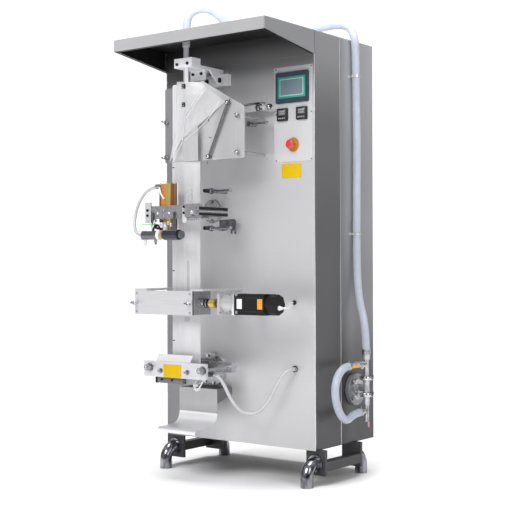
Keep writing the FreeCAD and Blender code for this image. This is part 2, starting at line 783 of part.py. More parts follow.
def pull_unit():
    """Two rollers pinch the film's edges inside a housing that is open above."""
    length = "(pull_right - pull_left)"
    front = box("pull_left", "-pull_front", "pull_bottom", length, "pull_plate", "pull_height")
    depth = "pull_front - pull_plate - pull_back"
    cheek_x = ("pull_left", "pull_right - pull_cheek")
    cheeks = [box(x, "-pull_front + pull_plate", "pull_bottom", "pull_cheek", depth, "pull_height") for x in cheek_x]
    holes = [rod("pull_left - 1", f"-film_y + {side} * nip", "drive_z", "roller_shaft + running_gap",
                 f"{length} + 2", "x") for side in (-1, 1)]
    node("pull_roller_housing", cut(fused(front, *cheeks), *holes))
    top = "pull_bottom + pull_height"
    arms = [box(x, "-pull_front", top, "arm_width", "pull_front", "arm_sheet") for x in ("pull_left", "pull_right - pull_cheek")]
    node("pull_unit_arms", together(*arms))
    for name, side in (("drive_roller", -1), ("pinch_roller", 1)):
        y = f"-film_y + {side} * nip"
        pieces = [rod("pull_left + 1", y, "drive_z", "roller_shaft", f"{length} - 2", "x")]
        for x in ("film_x - film_width / 2", "film_x + film_width / 2 - tyre_length"):
            pieces.append(rod(x, y, "drive_z", "tyre_radius", "tyre_length", "x"))
        if side < 0:
            joined = "coupling_length + coupling_rubber + collar_gap + collar_length"
            steps = [("coupling_radius", "coupling_length"), ("coupling_radius - 1.5", "coupling_rubber"),
                     ("roller_shaft", "collar_gap"), ("coupling_radius", "collar_length"),
                     ("roller_shaft", f"gearbox_left - pull_right - ({joined}) + gearbox_flange - 2")]
            pieces.append(stack("pull_right", y, "drive_z", steps, "x"))
        node(name, fused(*pieces))


def gear_motor():
    y = "-film_y - nip"
    half = "gearbox_side / 2"
    square = rectangle("gearbox_side", "gearbox_side")
    flanges = [plate(square, "gearbox_flange", x, f"{y} - {half}", f"drive_z - {half}", SIDE, "6")
               for x in ("gearbox_left", "gearbox_left + gearbox_length - gearbox_flange")]
    barrel = rod("gearbox_left", y, "drive_z", f"{half} - 5", "gearbox_length", "x")
    bore = rod("gearbox_left - 1", y, "drive_z", "roller_shaft + running_gap", "gearbox_flange + 2", "x")
    node("gearbox", cut(fused(barrel, *flanges), bore))
    arm_y = f"({y} + {half})"
    node("gearbox_bracket", box("gearbox_left", arm_y, "drive_z - 30", "gearbox_length", f"-{arm_y}", "60"))
    motor_x = "gearbox_left + gearbox_length"
    case = plate(rectangle("motor_side", "motor_side"), "motor_length", motor_x,
                 f"{y} - motor_side / 2", "drive_z - motor_side / 2", SIDE, "5")
    cap = prism(f"{motor_x} + motor_length", y, "drive_z", 8, "motor_side / 2", "motor_cap", "x")
    node("drive_motor", fused(case, cap))


def cross_sealer():
    """The front jaw hangs on two rods that slide in the beam behind the film."""
    rods_x = ("cross_x - cross_pitch / 2", "cross_x + cross_pitch / 2")
    flange = rod("cross_x - 10", "0", "cross_flange_z", "cross_flange", "cross_flange_sheet", "-y")
    block = box("cross_x - 60", "-cross_beam_front + cross_beam_depth", "cross_rod_z - cross_beam_height / 2 - 16",
                "120", "cross_beam_front - cross_beam_depth - cross_flange_sheet", "cross_beam_height + 8")
    beam = box("cross_x - cross_pitch / 2 - 22", "-cross_beam_front", "cross_rod_z - cross_beam_height / 2",
               "cross_pitch + 44", "cross_beam_depth", "cross_beam_height")
    bores = [rod(x, "-cross_beam_front - 1", "cross_rod_z", "cross_rod + running_gap",
                 "cross_beam_depth + 2", "y") for x in rods_x]
    node("cross_seal_mount", cut(fused(flange, block, beam), *bores))
    jaw_z = "cross_z - jaw_height / 2"
    rear = box("jaw_left", "-rear_jaw_face", jaw_z, "jaw_width", "rear_jaw_depth", "jaw_height")
    behind = "(-rear_jaw_face + rear_jaw_depth)"
    stems = [rod(f"cross_x + {side} * 80", behind, "cross_rod_z - 4", "12", f"-cross_beam_front - {behind}", "y")
             for side in (-1, 1)]
    gland = rod("jaw_left + jaw_width", f"{behind} - rear_jaw_depth / 2", "cross_z - 20", "8", "14", "x")
    node("rear_jaw", fused(rear, gland, *stems))
    node("front_jaw_plate", cut(
        plate(rectangle("cross_plate_width", "cross_plate_height"), "cross_plate_depth", "cross_plate_left",
              "-cross_front + cross_plate_depth", "cross_z - cross_plate_height / 2", FRONT, "4"),
        *[rod(x, "-cross_front - 1", "cross_rod_z", "cross_rod + running_gap", "cross_plate_depth + 2", "y")
          for x in rods_x]))
    behind_plate = "(-cross_front + cross_plate_depth)"
    node("front_jaw", box("jaw_left", behind_plate, jaw_z, "jaw_width", f"-front_jaw_face - {behind_plate}", "jaw_height"))
    rods = []
    for x in rods_x:
        bar = rod(x, "-cross_front - 26", "cross_rod_z", "cross_rod", "cross_front + 26 - cross_travel - 22", "y")
        nut = prism(x, "-cross_front", "cross_rod_z", 6, "acorn_radius", "26", "-y")
        dome = ball(x, "-cross_front - 26", "cross_rod_z", "acorn_radius - 4")
        rods.append(fused(bar, nut, dome))
    node("jaw_guide_rods", together(*rods))
    low = "cross_z + cross_plate_height / 2"
    lean = [("0", "0"), ("scoop_sheet", "0"), ("scoop_rise * 2 / 3 + scoop_sheet", "scoop_rise"),
            ("scoop_rise * 2 / 3", "scoop_rise")]
    node("film_scoop", plate(lean, "scoop_width", "jaw_left + 7", behind_plate + " - 4", low, SIDE))


def chute():
    x = size("chute_left")
    half = size("chute_sheet") / 2
    back = -size("chute_back") - half
    floor = size("chute_floor")
    bend = size("chute_bend")
    lip = size("chute_lip")
    reach = -size("chute_reach")
    diagonal = math.sqrt(0.5)

    def side(offset):
        """One face of the bent sheet, from its top edge down to the rolled lip."""
        outer = bend + offset
        inner = lip - offset
        top = Vector(x, back + offset, size("chute_top"))
        first = Vector(x, back + offset, floor + bend)
        first_middle = Vector(x, back - bend + outer * diagonal, floor + bend - outer * diagonal)
        second = Vector(x, back - bend, floor - offset)
        third = Vector(x, reach + lip, floor - offset)
        third_middle = Vector(x, reach + lip - inner * diagonal, floor - lip + inner * diagonal)
        last = Vector(x, reach + offset, floor - lip)
        edges = [Part.makeLine(top, first), Part.Arc(first, first_middle, second).toShape(),
                 Part.makeLine(second, third), Part.Arc(third, third_middle, last).toShape()]
        return top, edges, last

    upper_top, upper, upper_last = side(-half)
    lower_top, lower, lower_last = side(half)
    outline = Part.Wire(upper + [Part.makeLine(upper_last, lower_last)] + lower[::-1]
                        + [Part.makeLine(lower_top, upper_top)])
    node("discharge_chute", made(Part.Face(outline).extrude(Vector(size("chute_width"), 0, 0))))
    outline = [("0", "0"), ("chute_back", "support_back_bottom - support_front_bottom"),
               ("chute_back", "chute_top - support_front_bottom"), ("0", "chute_top - support_front_bottom")]
    node("chute_support", plate(outline, "chute_width - 4", "chute_left + 4", "-chute_back",
                                "support_front_bottom", SIDE))


def pump():
    side = "cabinet_width / 2"
    pipe_x = f"{side} + pump_stand"
    base = stack(side, "pump_y", "pump_z", [("pump_gasket", "3"), ("pump_plate", "14"), ("pump_plate - 18", "12"),
                                            ("9", "pump_stand - 29 - pump_pipe / 2")], "x")
    pipe_space = rod(pipe_x, "pump_y", "pump_z - 60", "pump_pipe", "120")
    barrel_x = f"{side} + pump_stand - pump_pipe - barrel_collar - 6"
    barrel = rod(barrel_x, "pump_y + 18", "pump_z + 8", "barrel_radius", "barrel_length", "-y")
    collar = rod(barrel_x, "pump_y - 36", "pump_z + 8", "barrel_collar", "12", "-y")
    bosses = [rod(f"{side} + 17", f"pump_y + {across} * 36", f"pump_z + {up} * 35", "boss_radius", "4", "x")
              for across in (-1, 1) for up in (-1, 1)]
    node("pump_base", cut(fused(base, barrel, collar, *bosses), pipe_space))
    body = stack(pipe_x, "pump_y", "pump_bottom",
                 [("pump_inlet", "pump_neck - pump_bottom"), ("pump_pipe", "clamp_low - 4 - pump_neck"),
                  ("pump_ferrule", "8"), ("pump_pipe", "clamp_high - clamp_low - 8"), ("pump_ferrule", "8"),
                  ("branch_radius + 1", "pump_spigot - clamp_high - 4"), ("hose_radius", "pump_top - pump_spigot")])
    tip = stack(f"{pipe_x} + 11", "pump_y", "pump_bottom - 23", [("3", "23"), ("2", "pump_neck - pump_bottom")])
    outlet = rod(pipe_x, "pump_y", "return_z", "branch_radius", "pump_y - return_end", "-y")
    branch = rod(pipe_x, "pump_y", "branch_z", "branch_radius", "pump_y - branch_end", "-y")
    node("pump_body", fused(body, tip, outlet, branch))
    wings = []
    for z in ("clamp_low", "clamp_high"):
        ring = cut(rod(pipe_x, "pump_y", f"{z} - 8", "pump_ferrule + 4", "16"),
                   rod(pipe_x, "pump_y", f"{z} - 9", "pump_ferrule + soft_gap / 4", "18"))
        bolt = rod(f"{pipe_x} + pump_ferrule + 2", "pump_y", z, "4", "clamp_reach - pump_ferrule - 2", "x")
        wing = plate([("0", "0"), ("5", "0"), ("8", "7"), ("8", "18"), ("3", "18"), ("0", "9")], "4",
                     f"{pipe_x} + clamp_reach - 8", "pump_y + 2", f"{z} - 3", FRONT)
        wings.append(fused(ring, bolt, wing))
    node("pipe_clamps", together(*wings))
    valve = rod(f"{pipe_x} - valve_radius", "valve_y", "branch_z", "valve_radius", "2 * valve_radius", "x")
    stem_hole = rod(f"{pipe_x}", "valve_y", "branch_z", "5 + running_gap", "2 * valve_radius", "x")
    pass_hole = rod(pipe_x, "valve_y - valve_radius - 2", "branch_z", "branch_radius + running_gap",
                    "2 * valve_radius + 4", "y")
    node("valve_body", cut(valve, stem_hole, pass_hole))
    lever_x = f"({pipe_x} + valve_radius + 6)"
    stem = rod(f"{pipe_x} + branch_radius + 2", "valve_y", "branch_z", "5", "valve_radius + 6 - branch_radius", "x")
    arm = box(lever_x, "valve_y - lever_length", "branch_z - 5", "5", "lever_length + 5", "10")
    node("valve_lever", fused(stem, arm))


def hose_clips(run, hose):
    """Split rings on flat feet that hold the hose to the side."""
    line = run.discretize(3000)
    clips = []
    for level in (lifted(size("clip_high"), 1), lifted(size("clip_low"), 0.5)):
        place = min((point for point in line if point.x > size("cabinet_width") / 2), key=lambda p: abs(p.z - level))
        low = f"{level} - clip_height / 2"
        ring = cut(rod(place.x, place.y, low, f"{hose} + soft_gap + clip_sheet", "clip_height"),
                   rod(place.x, place.y, f"{low} - 1", f"{hose} + soft_gap", "clip_height + 2"),
                   box("cabinet_width / 2 - clip_foot", f"{place.y} - clip_foot", f"{low} - 1", "clip_foot",
                       "2 * clip_foot", "clip_height + 2"))
        foot = box("cabinet_width / 2", f"{place.y} - clip_foot", low, "clip_sheet", "2 * clip_foot", "clip_height")
        way = rod(place.x, place.y, f"{low} - 1", f"{hose} + soft_gap", "clip_height + 2")
        clips.append(fused(ring, cut(foot, way)))
    node("hose_clips", together(*clips))


def cords():
    tube_x, tube_y = size("tube_x"), -size("film_y")
    pipe_x = size("cabinet_width") / 2 + size("pump_stand")
    pump_y = size("pump_y")
    hose = size("hose_radius")
    top = size("ground_clearance") + size("cabinet_height")
    beside = size("cabinet_width") / 2 + hose + 3
    pump_share = 0.12
    run = cord("product_hose", [
        (tube_x, tube_y, lifted(size("tube_top"), 1)), (tube_x, tube_y, top + 42), (-114, -193, top + 102),
        (-80, -163, top + 128), (-45, -132, top + 128), (-5, -96, top + 84), (38, -52, top + hose + 7),
        (110, 40, top + hose + 4), (185, 190, top + 32), (235, 272, top + 68), (330, 290, top + 80),
        (beside - 28.5, 284, top + 64), (beside + 3.5, 284, top + 16), (beside + 3.5, 292, top - 70),
        (beside + 1.5, 297, lifted(1700, 1)), (beside + 3, pump_y + 4, lifted(1450, 0.8)),
        (beside, pump_y, lifted(1060, 0.5)),
        (beside + 6, pump_y - 2, lifted(800, 0.3)), (pipe_x, pump_y, lifted(660, pump_share)),
        (pipe_x, pump_y, lifted(size("pump_top"), pump_share))], hose)
    hose_clips(run, hose)
    branch_z = lifted(size("branch_z"), pump_share)
    return_z = lifted(size("return_z"), pump_share)
    cord("loop_hose", [(pipe_x, size("branch_end"), branch_z), (pipe_x, 112, branch_z), (pipe_x, 55, branch_z - 47),
                       (pipe_x, 45, return_z + 88), (pipe_x, 75, return_z + 18), (pipe_x, 130, return_z - 30),
                       (pipe_x, 200, return_z), (pipe_x, size("return_end"), return_z)], hose)
    jaw = lifted(size("cross_z"), 0.1)
    cord("jaw_conduit", [(9, -176, jaw - 20), (32, -176, jaw - 20), (54, -163, jaw - 60), (78, -143, jaw - 130),
                         (118, -122, jaw - 180), (178, -98, jaw - 182), (222, -75, jaw - 130), (254, -56, jaw - 55),
                         (284, -52, jaw - 6), (311, -42, jaw + 9), (311, -14, jaw + 9)], 7.5)
    drive = lifted(size("drive_z"), 0.35)
    end = size("gearbox_left") + size("gearbox_length") + size("motor_length") + size("motor_cap")
    cord("motor_cable", [(end, -225, drive - 13), (end + 16, -225, drive - 13), (end + 20, -180, drive - 12),
                         (end - 22, -100, drive - 5), (308, -50, drive + 2), (308, -14, drive + 2)], 4)
    press = lifted(size("press_z"), 0.57)
    heater = lifted(size("heater_bottom") + size("heater_height"), 0.57) - 10
    cord("heater_conduit", [(-196, -280, heater), (-232, -280, heater), (-285, -286, heater - 19),
                            (-324, -298, heater - 82), (-326, -316, press + 50), (-300, -326, press),
                            (-264, -326, press)], 6)
    glands = [stack(308, "0", f"drive_z + 2 + 0.35 * {GROWTH}", [("9", "8"), ("6", "6")], "-y"),
              stack(311, "0", f"cross_z + 9 + 0.1 * {GROWTH}", [("14", "8"), ("10", "6")], "-y")]
    node("cable_glands", together(*glands))


UNITS = ((cabinet, 0), (hood, 0), (underframe, 0), (curved_feet, 0), (control_panel, 1), (former, 1),
         (filling_tube, 1), (film, 0), (guide_roller, 1), (vertical_sealer, 0.57), (pull_unit, 0.35),
         (gear_motor, 0.35), (cross_sealer, 0.1), (chute, 0.1), (pump, 0.12), (cords, 0))
for build, rise in UNITS:
    build()

doc.recompute()
for item in doc.Objects:
    if "Invalid" in item.State or "Error" in item.State:
        raise RuntimeError(f"{item.Name} {item.Label} failed: {item.State}")
for item in nodes:
    if item.Shape.isNull() or not item.Shape.isValid():
        raise RuntimeError(f"{item.Label} has no valid shape")

os.makedirs("parts", exist_ok=True)
for item in nodes:
    item.Shape.exportStep(f"parts/{item.Label}.step")
whole = Part.makeCompound([item.Shape for item in nodes])
print(len(nodes), "parts", whole.BoundBox, "volume", round(whole.Volume / 1e6, 1), "litres")
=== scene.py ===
import math

import bmesh
import bpy
from mathutils import Matrix, Vector


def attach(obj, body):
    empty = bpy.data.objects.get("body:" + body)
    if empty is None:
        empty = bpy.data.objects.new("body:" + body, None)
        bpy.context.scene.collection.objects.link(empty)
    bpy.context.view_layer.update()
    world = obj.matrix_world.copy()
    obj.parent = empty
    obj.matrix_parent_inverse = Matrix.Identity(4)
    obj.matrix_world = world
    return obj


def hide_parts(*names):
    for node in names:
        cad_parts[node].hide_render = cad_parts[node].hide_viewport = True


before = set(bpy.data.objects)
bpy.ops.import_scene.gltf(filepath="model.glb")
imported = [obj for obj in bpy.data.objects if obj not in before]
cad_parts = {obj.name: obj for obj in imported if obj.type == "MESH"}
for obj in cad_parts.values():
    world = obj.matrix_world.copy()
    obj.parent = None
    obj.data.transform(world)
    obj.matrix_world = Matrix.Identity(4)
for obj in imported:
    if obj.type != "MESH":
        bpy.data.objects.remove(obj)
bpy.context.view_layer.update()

# Where the frame's origin lies, in mm from the cabinet's centre line, its front panel and the floor.
ORIGIN = {"X": 38.75, "Y": 60, "Z": 0}


def at(x, y, z):
    """A place in mm from the cabinet's centre line, its front panel and the floor, as metres in the frame."""
    return Vector(((x - ORIGIN["X"]) / 1000, (y - ORIGIN["Y"]) / 1000, (z - ORIGIN["Z"]) / 1000))


def linear(code):
    """A hex colour as the linear colour that a shader takes."""
    parts = [int(code[i:i + 2], 16) / 255 for i in (1, 3, 5)]
    return [p / 12.92 if p <= 0.04045 else ((p + 0.055) / 1.055) ** 2.4 for p in parts] + [1]


def node(tree, kind, settings=(), **sources):
    """Adds a node with its settings and links.

    A source is named after its socket, with _ for a space, or at0 and at1 for the first and second socket. It is a
    value, a socket, or a node whose first output is meant.
    """
    made = tree.nodes.new(kind)
    for key, value in dict(settings).items():
        setattr(made, key, value)
    for key, source in sources.items():
        socket = made.inputs[int(key[2:])] if key.startswith("at") else made.inputs[key.replace("_", " ")]
        if isinstance(source, bpy.types.Node):
            tree.links.new(source.outputs[0], socket)
        elif isinstance(source, bpy.types.NodeSocket):
            tree.links.new(source, socket)
        else:
            socket.default_value = source
    return made


def material(name, colour, rough, metal, period, tint=0.06, rough_by=0.05, bump=0.0, detail=4.0, **inputs):
    """A surface whose colour, gloss and height vary with noise of the given period in mm."""
    made = bpy.data.materials.new(name)
    made.use_nodes = True
    tree = made.node_tree
    shader = tree.nodes["Principled BSDF"]
    shader.inputs["Metallic"].default_value = metal
    for key, value in inputs.items():
        shader.inputs[key.replace("_", " ")].default_value = value
    coords = node(tree, "ShaderNodeTexCoord")
    scaled = node(tree, "ShaderNodeMapping", Vector=coords.outputs["Object"], Scale=[1000 / p for p in period])
    noise = node(tree, "ShaderNodeTexNoise", Vector=scaled, Scale=1, Detail=detail)
    ramp = node(tree, "ShaderNodeValToRGB", Fac=noise)
    base = linear(colour)[:3]
    dark, light = ramp.color_ramp.elements
    for point, share, place in ((dark, 1 - tint, 0.3), (light, 1 + tint, 0.7)):
        point.color = [min(1, c * share) for c in base] + [1]
        point.position = place
    gloss = node(tree, "ShaderNodeMapRange", Value=noise, To_Min=max(0.02, rough - rough_by),
                 To_Max=min(1, rough + rough_by))
    tree.links.new(ramp.outputs["Color"], shader.inputs["Base Color"])
    tree.links.new(gloss.outputs["Result"], shader.inputs["Roughness"])
    if bump:
        height = node(tree, "ShaderNodeBump", Distance=bump / 1000, Strength=0.6, Height=noise)
        tree.links.new(height.outputs["Normal"], shader.inputs["Normal"])
    return made


def shaded(made, axis, stops):
    """Paints light or shade into a surface's colour along an axis, by pairs of a place in mm and a share."""
    tree = made.node_tree
    colour = tree.nodes["Principled BSDF"].inputs["Base Color"]
    low, high = stops[0][0], stops[-1][0]
    coords = node(tree, "ShaderNodeTexCoord")
    parts = node(tree, "ShaderNodeSeparateXYZ", Vector=coords.outputs["Object"])
    reach = node(tree, "ShaderNodeMapRange", Value=parts.outputs[axis], From_Min=(low - ORIGIN[axis]) / 1000,
                 From_Max=(high - ORIGIN[axis]) / 1000)
    ramp = node(tree, "ShaderNodeValToRGB", Fac=reach)
    ramp.color_ramp.interpolation = "EASE"
    points = ramp.color_ramp.elements
    for place, share in stops[1:-1]:
        points.new((place - low) / (high - low))
    for point, (place, share) in zip(points, stops):
        point.color = (share, share, share, 1)
    product = node(tree, "ShaderNodeVectorMath", {"operation": "MULTIPLY"}, at0=colour.links[0].from_socket, at1=ramp)
    tree.links.new(product.outputs["Vector"], colour)
    return made


def ribbed(made, period, depth):
    """Fine rings across a hose, the given period apart in mm, in its height and its colour."""
    tree = made.node_tree
    shader = tree.nodes["Principled BSDF"]
    colour = shader.inputs["Base Color"]
    coords = node(tree, "ShaderNodeTexCoord")
    # A wave texture of scale 1 repeats every 2 pi / 20 of a unit.
    wave = node(tree, "ShaderNodeTexWave", {"bands_direction": "Z"}, Vector=coords.outputs["Object"],
                Scale=1000 / period / 20 * 2 * math.pi, Distortion=0.6)
    height = node(tree, "ShaderNodeBump", Distance=depth / 1000, Strength=0.5, Height=wave.outputs["Fac"])
    tree.links.new(height.outputs["Normal"], shader.inputs["Normal"])
    share = node(tree, "ShaderNodeMapRange", Value=wave.outputs["Fac"], To_Min=0.86)
    product = node(tree, "ShaderNodeVectorMath", {"operation": "MULTIPLY"}, at0=colour.links[0].from_socket, at1=share)
    tree.links.new(product.outputs["Vector"], colour)
    return made


# Real satin grain is about 0.1 mm wide. Here its lines are 1.4 to 4 mm wide, because finer ones don't show.
UPRIGHT = (1.6, 1.6, 480)

# Front: satin stainless sheet whose long level grain gives a soft sheen. Painted shade makes it slightly darker at the
# foot, much darker upwards under the hood and dark on its left part, and painted light makes it a little lighter in the
# middle.
front_steel = shaded(shaded(
    material("satin stainless sheet", "#cacacc", 0.42, 0.45, (420, 420, 1.4), 0.02, 0.05, 0.02),
    "Z", [(150, 0.9), (500, 0.98), (1400, 1.0), (1600, 0.98), (1720, 0.7), (1810, 0.3), (1915, 0.06)]),
    "X", [(-412, 0.42), (-345, 0.45), (-200, 1.04), (-70, 1.2), (60, 1.06), (412, 0.98)])
# Narrow fold beside the front: the same sheet with upright grain, painted much darker than the front as its shade, dark
# below and lighter towards the top with painted light.
fold_steel = shaded(material("satin stainless fold", "#69696b", 0.4, 0.5, UPRIGHT, 0.04, 0.06, 0.02), "Z",
                    [(150, 0.48), (600, 0.68), (1000, 0.86), (1500, 1.25), (1900, 2.5)])
# Service panel: the same sheet with upright grain, with painted shade that is darkest at the bottom, painted light that
# grows upwards, and a painted light band running upright near its front edge, the soft band that satin sheet shows.
side_steel = shaded(shaded(
    material("satin stainless side sheet", "#8f8f92", 0.38, 0.5, UPRIGHT, 0.04, 0.06, 0.02),
    "Z", [(150, 0.23), (420, 0.3), (800, 0.93), (1200, 1.32), (1900, 1.75)]),
    "Y", [(200, 0.72), (290, 1.15), (360, 1.0), (467, 1.1)])
# Back and left side: plain satin sheet, an even mid grey.
back_steel = material("satin stainless back sheet", "#8b8b8e", 0.4, 0.6, UPRIGHT, 0.05, 0.06, 0.02)
# Hood: satin sheet with level grain, with painted shade that darkens it slowly towards the right and more on its right
# side face.
hood_steel = shaded(material("satin stainless hood sheet", "#c4c4c6", 0.34, 0.5, (380, 380, 1.6), 0.03, 0.05, 0.02),
                    "X", [(-412, 1.08), (-100, 1.02), (250, 0.94), (404, 0.92), (412, 0.68)])
# Inside of the hood and under the base: a near black sheet with a faint mottle, painted shade where these surfaces lie
# in shade.
shade_black_sheet = material("dark coated sheet", "#131314", 0.5, 0.2, (60, 60, 60), 0.12, 0.08)
# Folded edges and hose clips: bare steel, pale; on the folded edges its thin bright lines are a painted highlight.
bright_edge = material("bright folded edge", "#d4d4d8", 0.24, 0.6, (30, 30, 200), 0.04)
# Plates and blocks of the film path: ground steel, pale, with fine level lines.
ground_steel = material("ground steel plate", "#cfcfd2", 0.32, 0.45, (90, 90, 2.2), 0.05, 0.08, 0.03)
# Former plate: satin sheet with upright lines, with painted light on the left and painted shade that makes it greyer
# towards the right under the turning bar.
former_steel = shaded(material("satin former plate", "#c4c4c6", 0.38, 0.25, (3, 3, 160), 0.04, 0.05, 0.02), "X",
                      [(-215, 1.35), (-110, 1.15), (-20, 1.0), (80, 0.78), (183, 0.84)])
# Milled steel that stays oily: dark grey with an uneven fine speckle.
dark_machined = material("dark machined steel", "#6c6c70", 0.3, 0.75, (4, 4, 4), 0.2, 0.1, 0.05)
# Chute: polished sheet with painted highlights, near white on its lip and where its curve faces the light, painted
# shade in a narrow band below the lip and at the bend, and painted shade grey on its upright back.
chute_steel = shaded(material("polished chute sheet", "#e2e2e5", 0.3, 0.35, (2, 120, 120), 0.04, 0.05, 0.02), "Z",
                     [(200, 1.3), (216, 1.3), (223, 0.85), (238, 1.0), (258, 1.3), (280, 1.3), (287, 0.46),
                      (296, 0.53), (330, 0.62), (450, 0.64)])
# Scoop over the jaws: smooth sheet, painted almost white as the light on its upturned face.
scoop_steel = material("bright scoop sheet", "#e8e8ec", 0.34, 0.2, (40, 40, 3), 0.04, 0.05, 0.02)
# Clamp block of the filling tube: milled faces, pale, with faint tool lines.
bracket_steel = material("milled clamp block", "#f0f0f3", 0.36, 0.15, (50, 50, 4), 0.05, 0.06, 0.03)
# Top sheet: satin stainless with its grain from side to side.
top_steel = material("satin stainless top sheet", "#b9b9bc", 0.42, 0.35, (480, 1.6, 1.6), 0.04, 0.06, 0.02)
# Guide rods: polished round bar with long soft highlights.
rod_chrome = material("polished guide rods", "#a9a9ad", 0.2, 0.8, (60, 300, 60), 0.1, 0.04)
# Chute bracket: folded sheet that stays in the shade, a dull mid grey.
support_steel = material("shaded chute bracket", "#737377", 0.4, 0.4, (3, 60, 60), 0.05, 0.05, 0.02)
# Rim of the pump flange: turned steel, with painted shade that makes it darker than its face.
dark_flange = material("turned pump flange rim", "#8c8c90", 0.3, 0.5, (12, 12, 12), 0.08, 0.06)
# Levers and nuts: chrome whose grey patches between its highlights are painted reflections.
lever_chrome = material("chrome levers with painted reflections", "#909095", 0.2, 0.85, (14, 14, 14), 0.45, 0.06)
# Clamps and small turned parts: polished chrome that reflects the room, with dark and light patches painted in as
# further reflections.
chrome = material("polished chrome", "#bdbdc2", 0.13, 1.0, (16, 16, 16), 0.3, 0.05)
# Pump casting and pipes: polished steel on a slightly uneven surface, with dark and bright patches painted in as
# reflections.
pump_steel = material("polished pump casting", "#b4b4b8", 0.22, 0.6, (24, 24, 24), 0.32, 0.06, 0.2, 2.0)
# Seal flanges: turned steel in light grey, with painted light that makes the cross seal's flange lighter above its
# middle and the vertical seal's flange a little lighter.
flange_steel = shaded(material("turned flange", "#b9b9bc", 0.26, 0.6, (22, 22, 22), 0.06, 0.06), "Z",
                      [(390, 1.0), (503, 1.0), (512, 1.15), (545, 1.25), (1120, 1.1), (1220, 1.1)])
# Frame of the vertical seal: worn ground bar, grey in front, with a painted highlight that makes its upper edge bright.
bar_steel = shaded(material("worn ground bar", "#98989b", 0.34, 0.6, (9, 9, 9), 0.16, 0.1, 0.05), "Z",
                   [(1100, 1.0), (1187, 1.0), (1191, 1.9), (1250, 1.9)])
# Turning bar: ground round bar, dark along its whole length.
turning_steel = material("ground turning bar", "#66666a", 0.3, 0.6, (9, 9, 60), 0.2, 0.1, 0.05)
# Filling tube: polished tube with soft upright streaks.
tube_chrome = material("polished tube", "#d8d8dc", 0.3, 0.55, (60, 60, 300), 0.04, 0.04)
# Plate behind the former: satin sheet in the shade, a flat mid grey.
shade_steel = material("shaded back plate", "#8c8c8f", 0.4, 0.3, (3, 3, 160), 0.04, 0.05, 0.02)
# Feet: bent chrome tube that reflects the room, with large patches from near black to white painted in as further
# reflections.
foot_chrome = material("polished curved tube", "#84848a", 0.14, 0.9, (24, 24, 60), 0.85, 0.05, 0.0, 1.5)
# Screws and small fittings: zinc plating, bright with a slight grey speckle.
screw_steel = material("zinc plated screws", "#a9a9ad", 0.28, 1.0, (6, 6, 6), 0.14, 0.08)
# Cap screws: black oxide, a dull black with a faint gleam.
black_screw = material("black oxide screws", "#1b1b1d", 0.36, 0.6, (5, 5, 5), 0.2, 0.1)
# Underframe: semi matte dark grey paint with a fine orange peel.
frame_paint = material("dark grey frame paint", "#3a3a3c", 0.5, 0.05, (3, 3, 3), 0.08, 0.08, 0.04)
# Motor: matt black stove paint over a cast body.
black_paint = material("black motor paint", "#121213", 0.55, 0.0, (2.5, 2.5, 2.5), 0.2, 0.1, 0.05,
                       Specular_IOR_Level=0.25)
# Gearbox: machined aluminium, light grey with a fine tool texture.
cast_grey = material("machined aluminium", "#b9b9bc", 0.36, 0.35, (7, 7, 7), 0.06, 0.1, 0.05)
# Control panel: light grey printed foil, smooth, with painted shade that darkens it towards the hood.
panel_paint = shaded(material("light grey panel foil", "#c6c6c9", 0.48, 0.1, (5, 5, 5), 0.03, 0.04, 0.02), "Z",
                     [(1300, 1.0), (1600, 0.96), (1780, 0.78)])
# Housings of the controllers: moulded black plastic with a fine spark eroded texture.
black_plastic = material("moulded black plastic", "#1d1d1f", 0.45, 0.0, (2, 2, 2), 0.15, 0.08, 0.03)
# Keys and number windows: grey moulded plastic.
button_grey = material("grey push keys", "#8f8f93", 0.5, 0.0, (3, 3, 3), 0.06)
# Screen, from its edge inwards: dark blue moulding, green frame, pale rim and unlit glass.
bezel_blue = material("dark blue screen bezel", "#2c3745", 0.42, 0.0, (30, 30, 30), 0.08)
bezel_green = material("green screen frame", "#149a83", 0.5, 0.0, (15, 15, 15), 0.05)
screen_rim = material("pale screen rim", "#b9c4c6", 0.5, 0.0, (15, 15, 15), 0.04)
screen_glass = material("unlit touch screen", "#687983", 0.45, 0.0, (60, 60, 60), 0.03, 0.02)
# Stop button: glossy red moulding on a satin yellow ring.
red_plastic = material("red mushroom plastic", "#cf3646", 0.3, 0.0, (12, 12, 12), 0.04, 0.04, Coat_Weight=0.3)
yellow_plastic = material("yellow ring plastic", "#b5831a", 0.42, 0.0, (12, 12, 12), 0.05)
# Bare foils: matt yellow vinyl, and orange vinyl on the motor.
yellow_foil = material("plain yellow foil", "#d2ad00", 0.6, 0.0, (14, 14, 14), 0.03, Specular_IOR_Level=0.2)
orange_foil = material("orange motor foil", "#f0960f", 0.46, 0.0, (14, 14, 14), 0.03)
# Lever sleeve and rod tip of the pump: dipped soft plastic with a rounded sheen.
orange_plastic = material("orange lever sleeve", "#eb9c12", 0.36, 0.0, (9, 9, 9), 0.05, 0.05)
pink_plastic = material("pink rod tip", "#c98d9a", 0.4, 0.0, (5, 5, 5), 0.05)
# Thin single wires: smooth coloured sheaths with a soft gleam.
pale_wire = material("pale blue wire", "#8f90d0", 0.45, 0.0, (5, 5, 5), 0.05)
green_wire = material("green wire", "#2fae52", 0.45, 0.0, (5, 5, 5), 0.05)
# Guide roller, terminals and the motor's gland: white moulded plastic, smooth and even.
white_plastic = material("white plastic", "#d9d9dc", 0.4, 0.0, (7, 7, 7), 0.03)
# Heater leads: woven glass sleeving, matt, its threads drawn coarser than their real half millimetre to show.
white_sleeving = material("woven white sleeving", "#dededf", 0.7, 0.0, (1.2, 1.2, 1.2), 0.08, 0.05, 0.1)
# Glands and tyres: matt black rubber.
rubber = material("black rubber", "#1c1c1d", 0.7, 0.0, (3, 3, 3), 0.15, 0.08, 0.05)
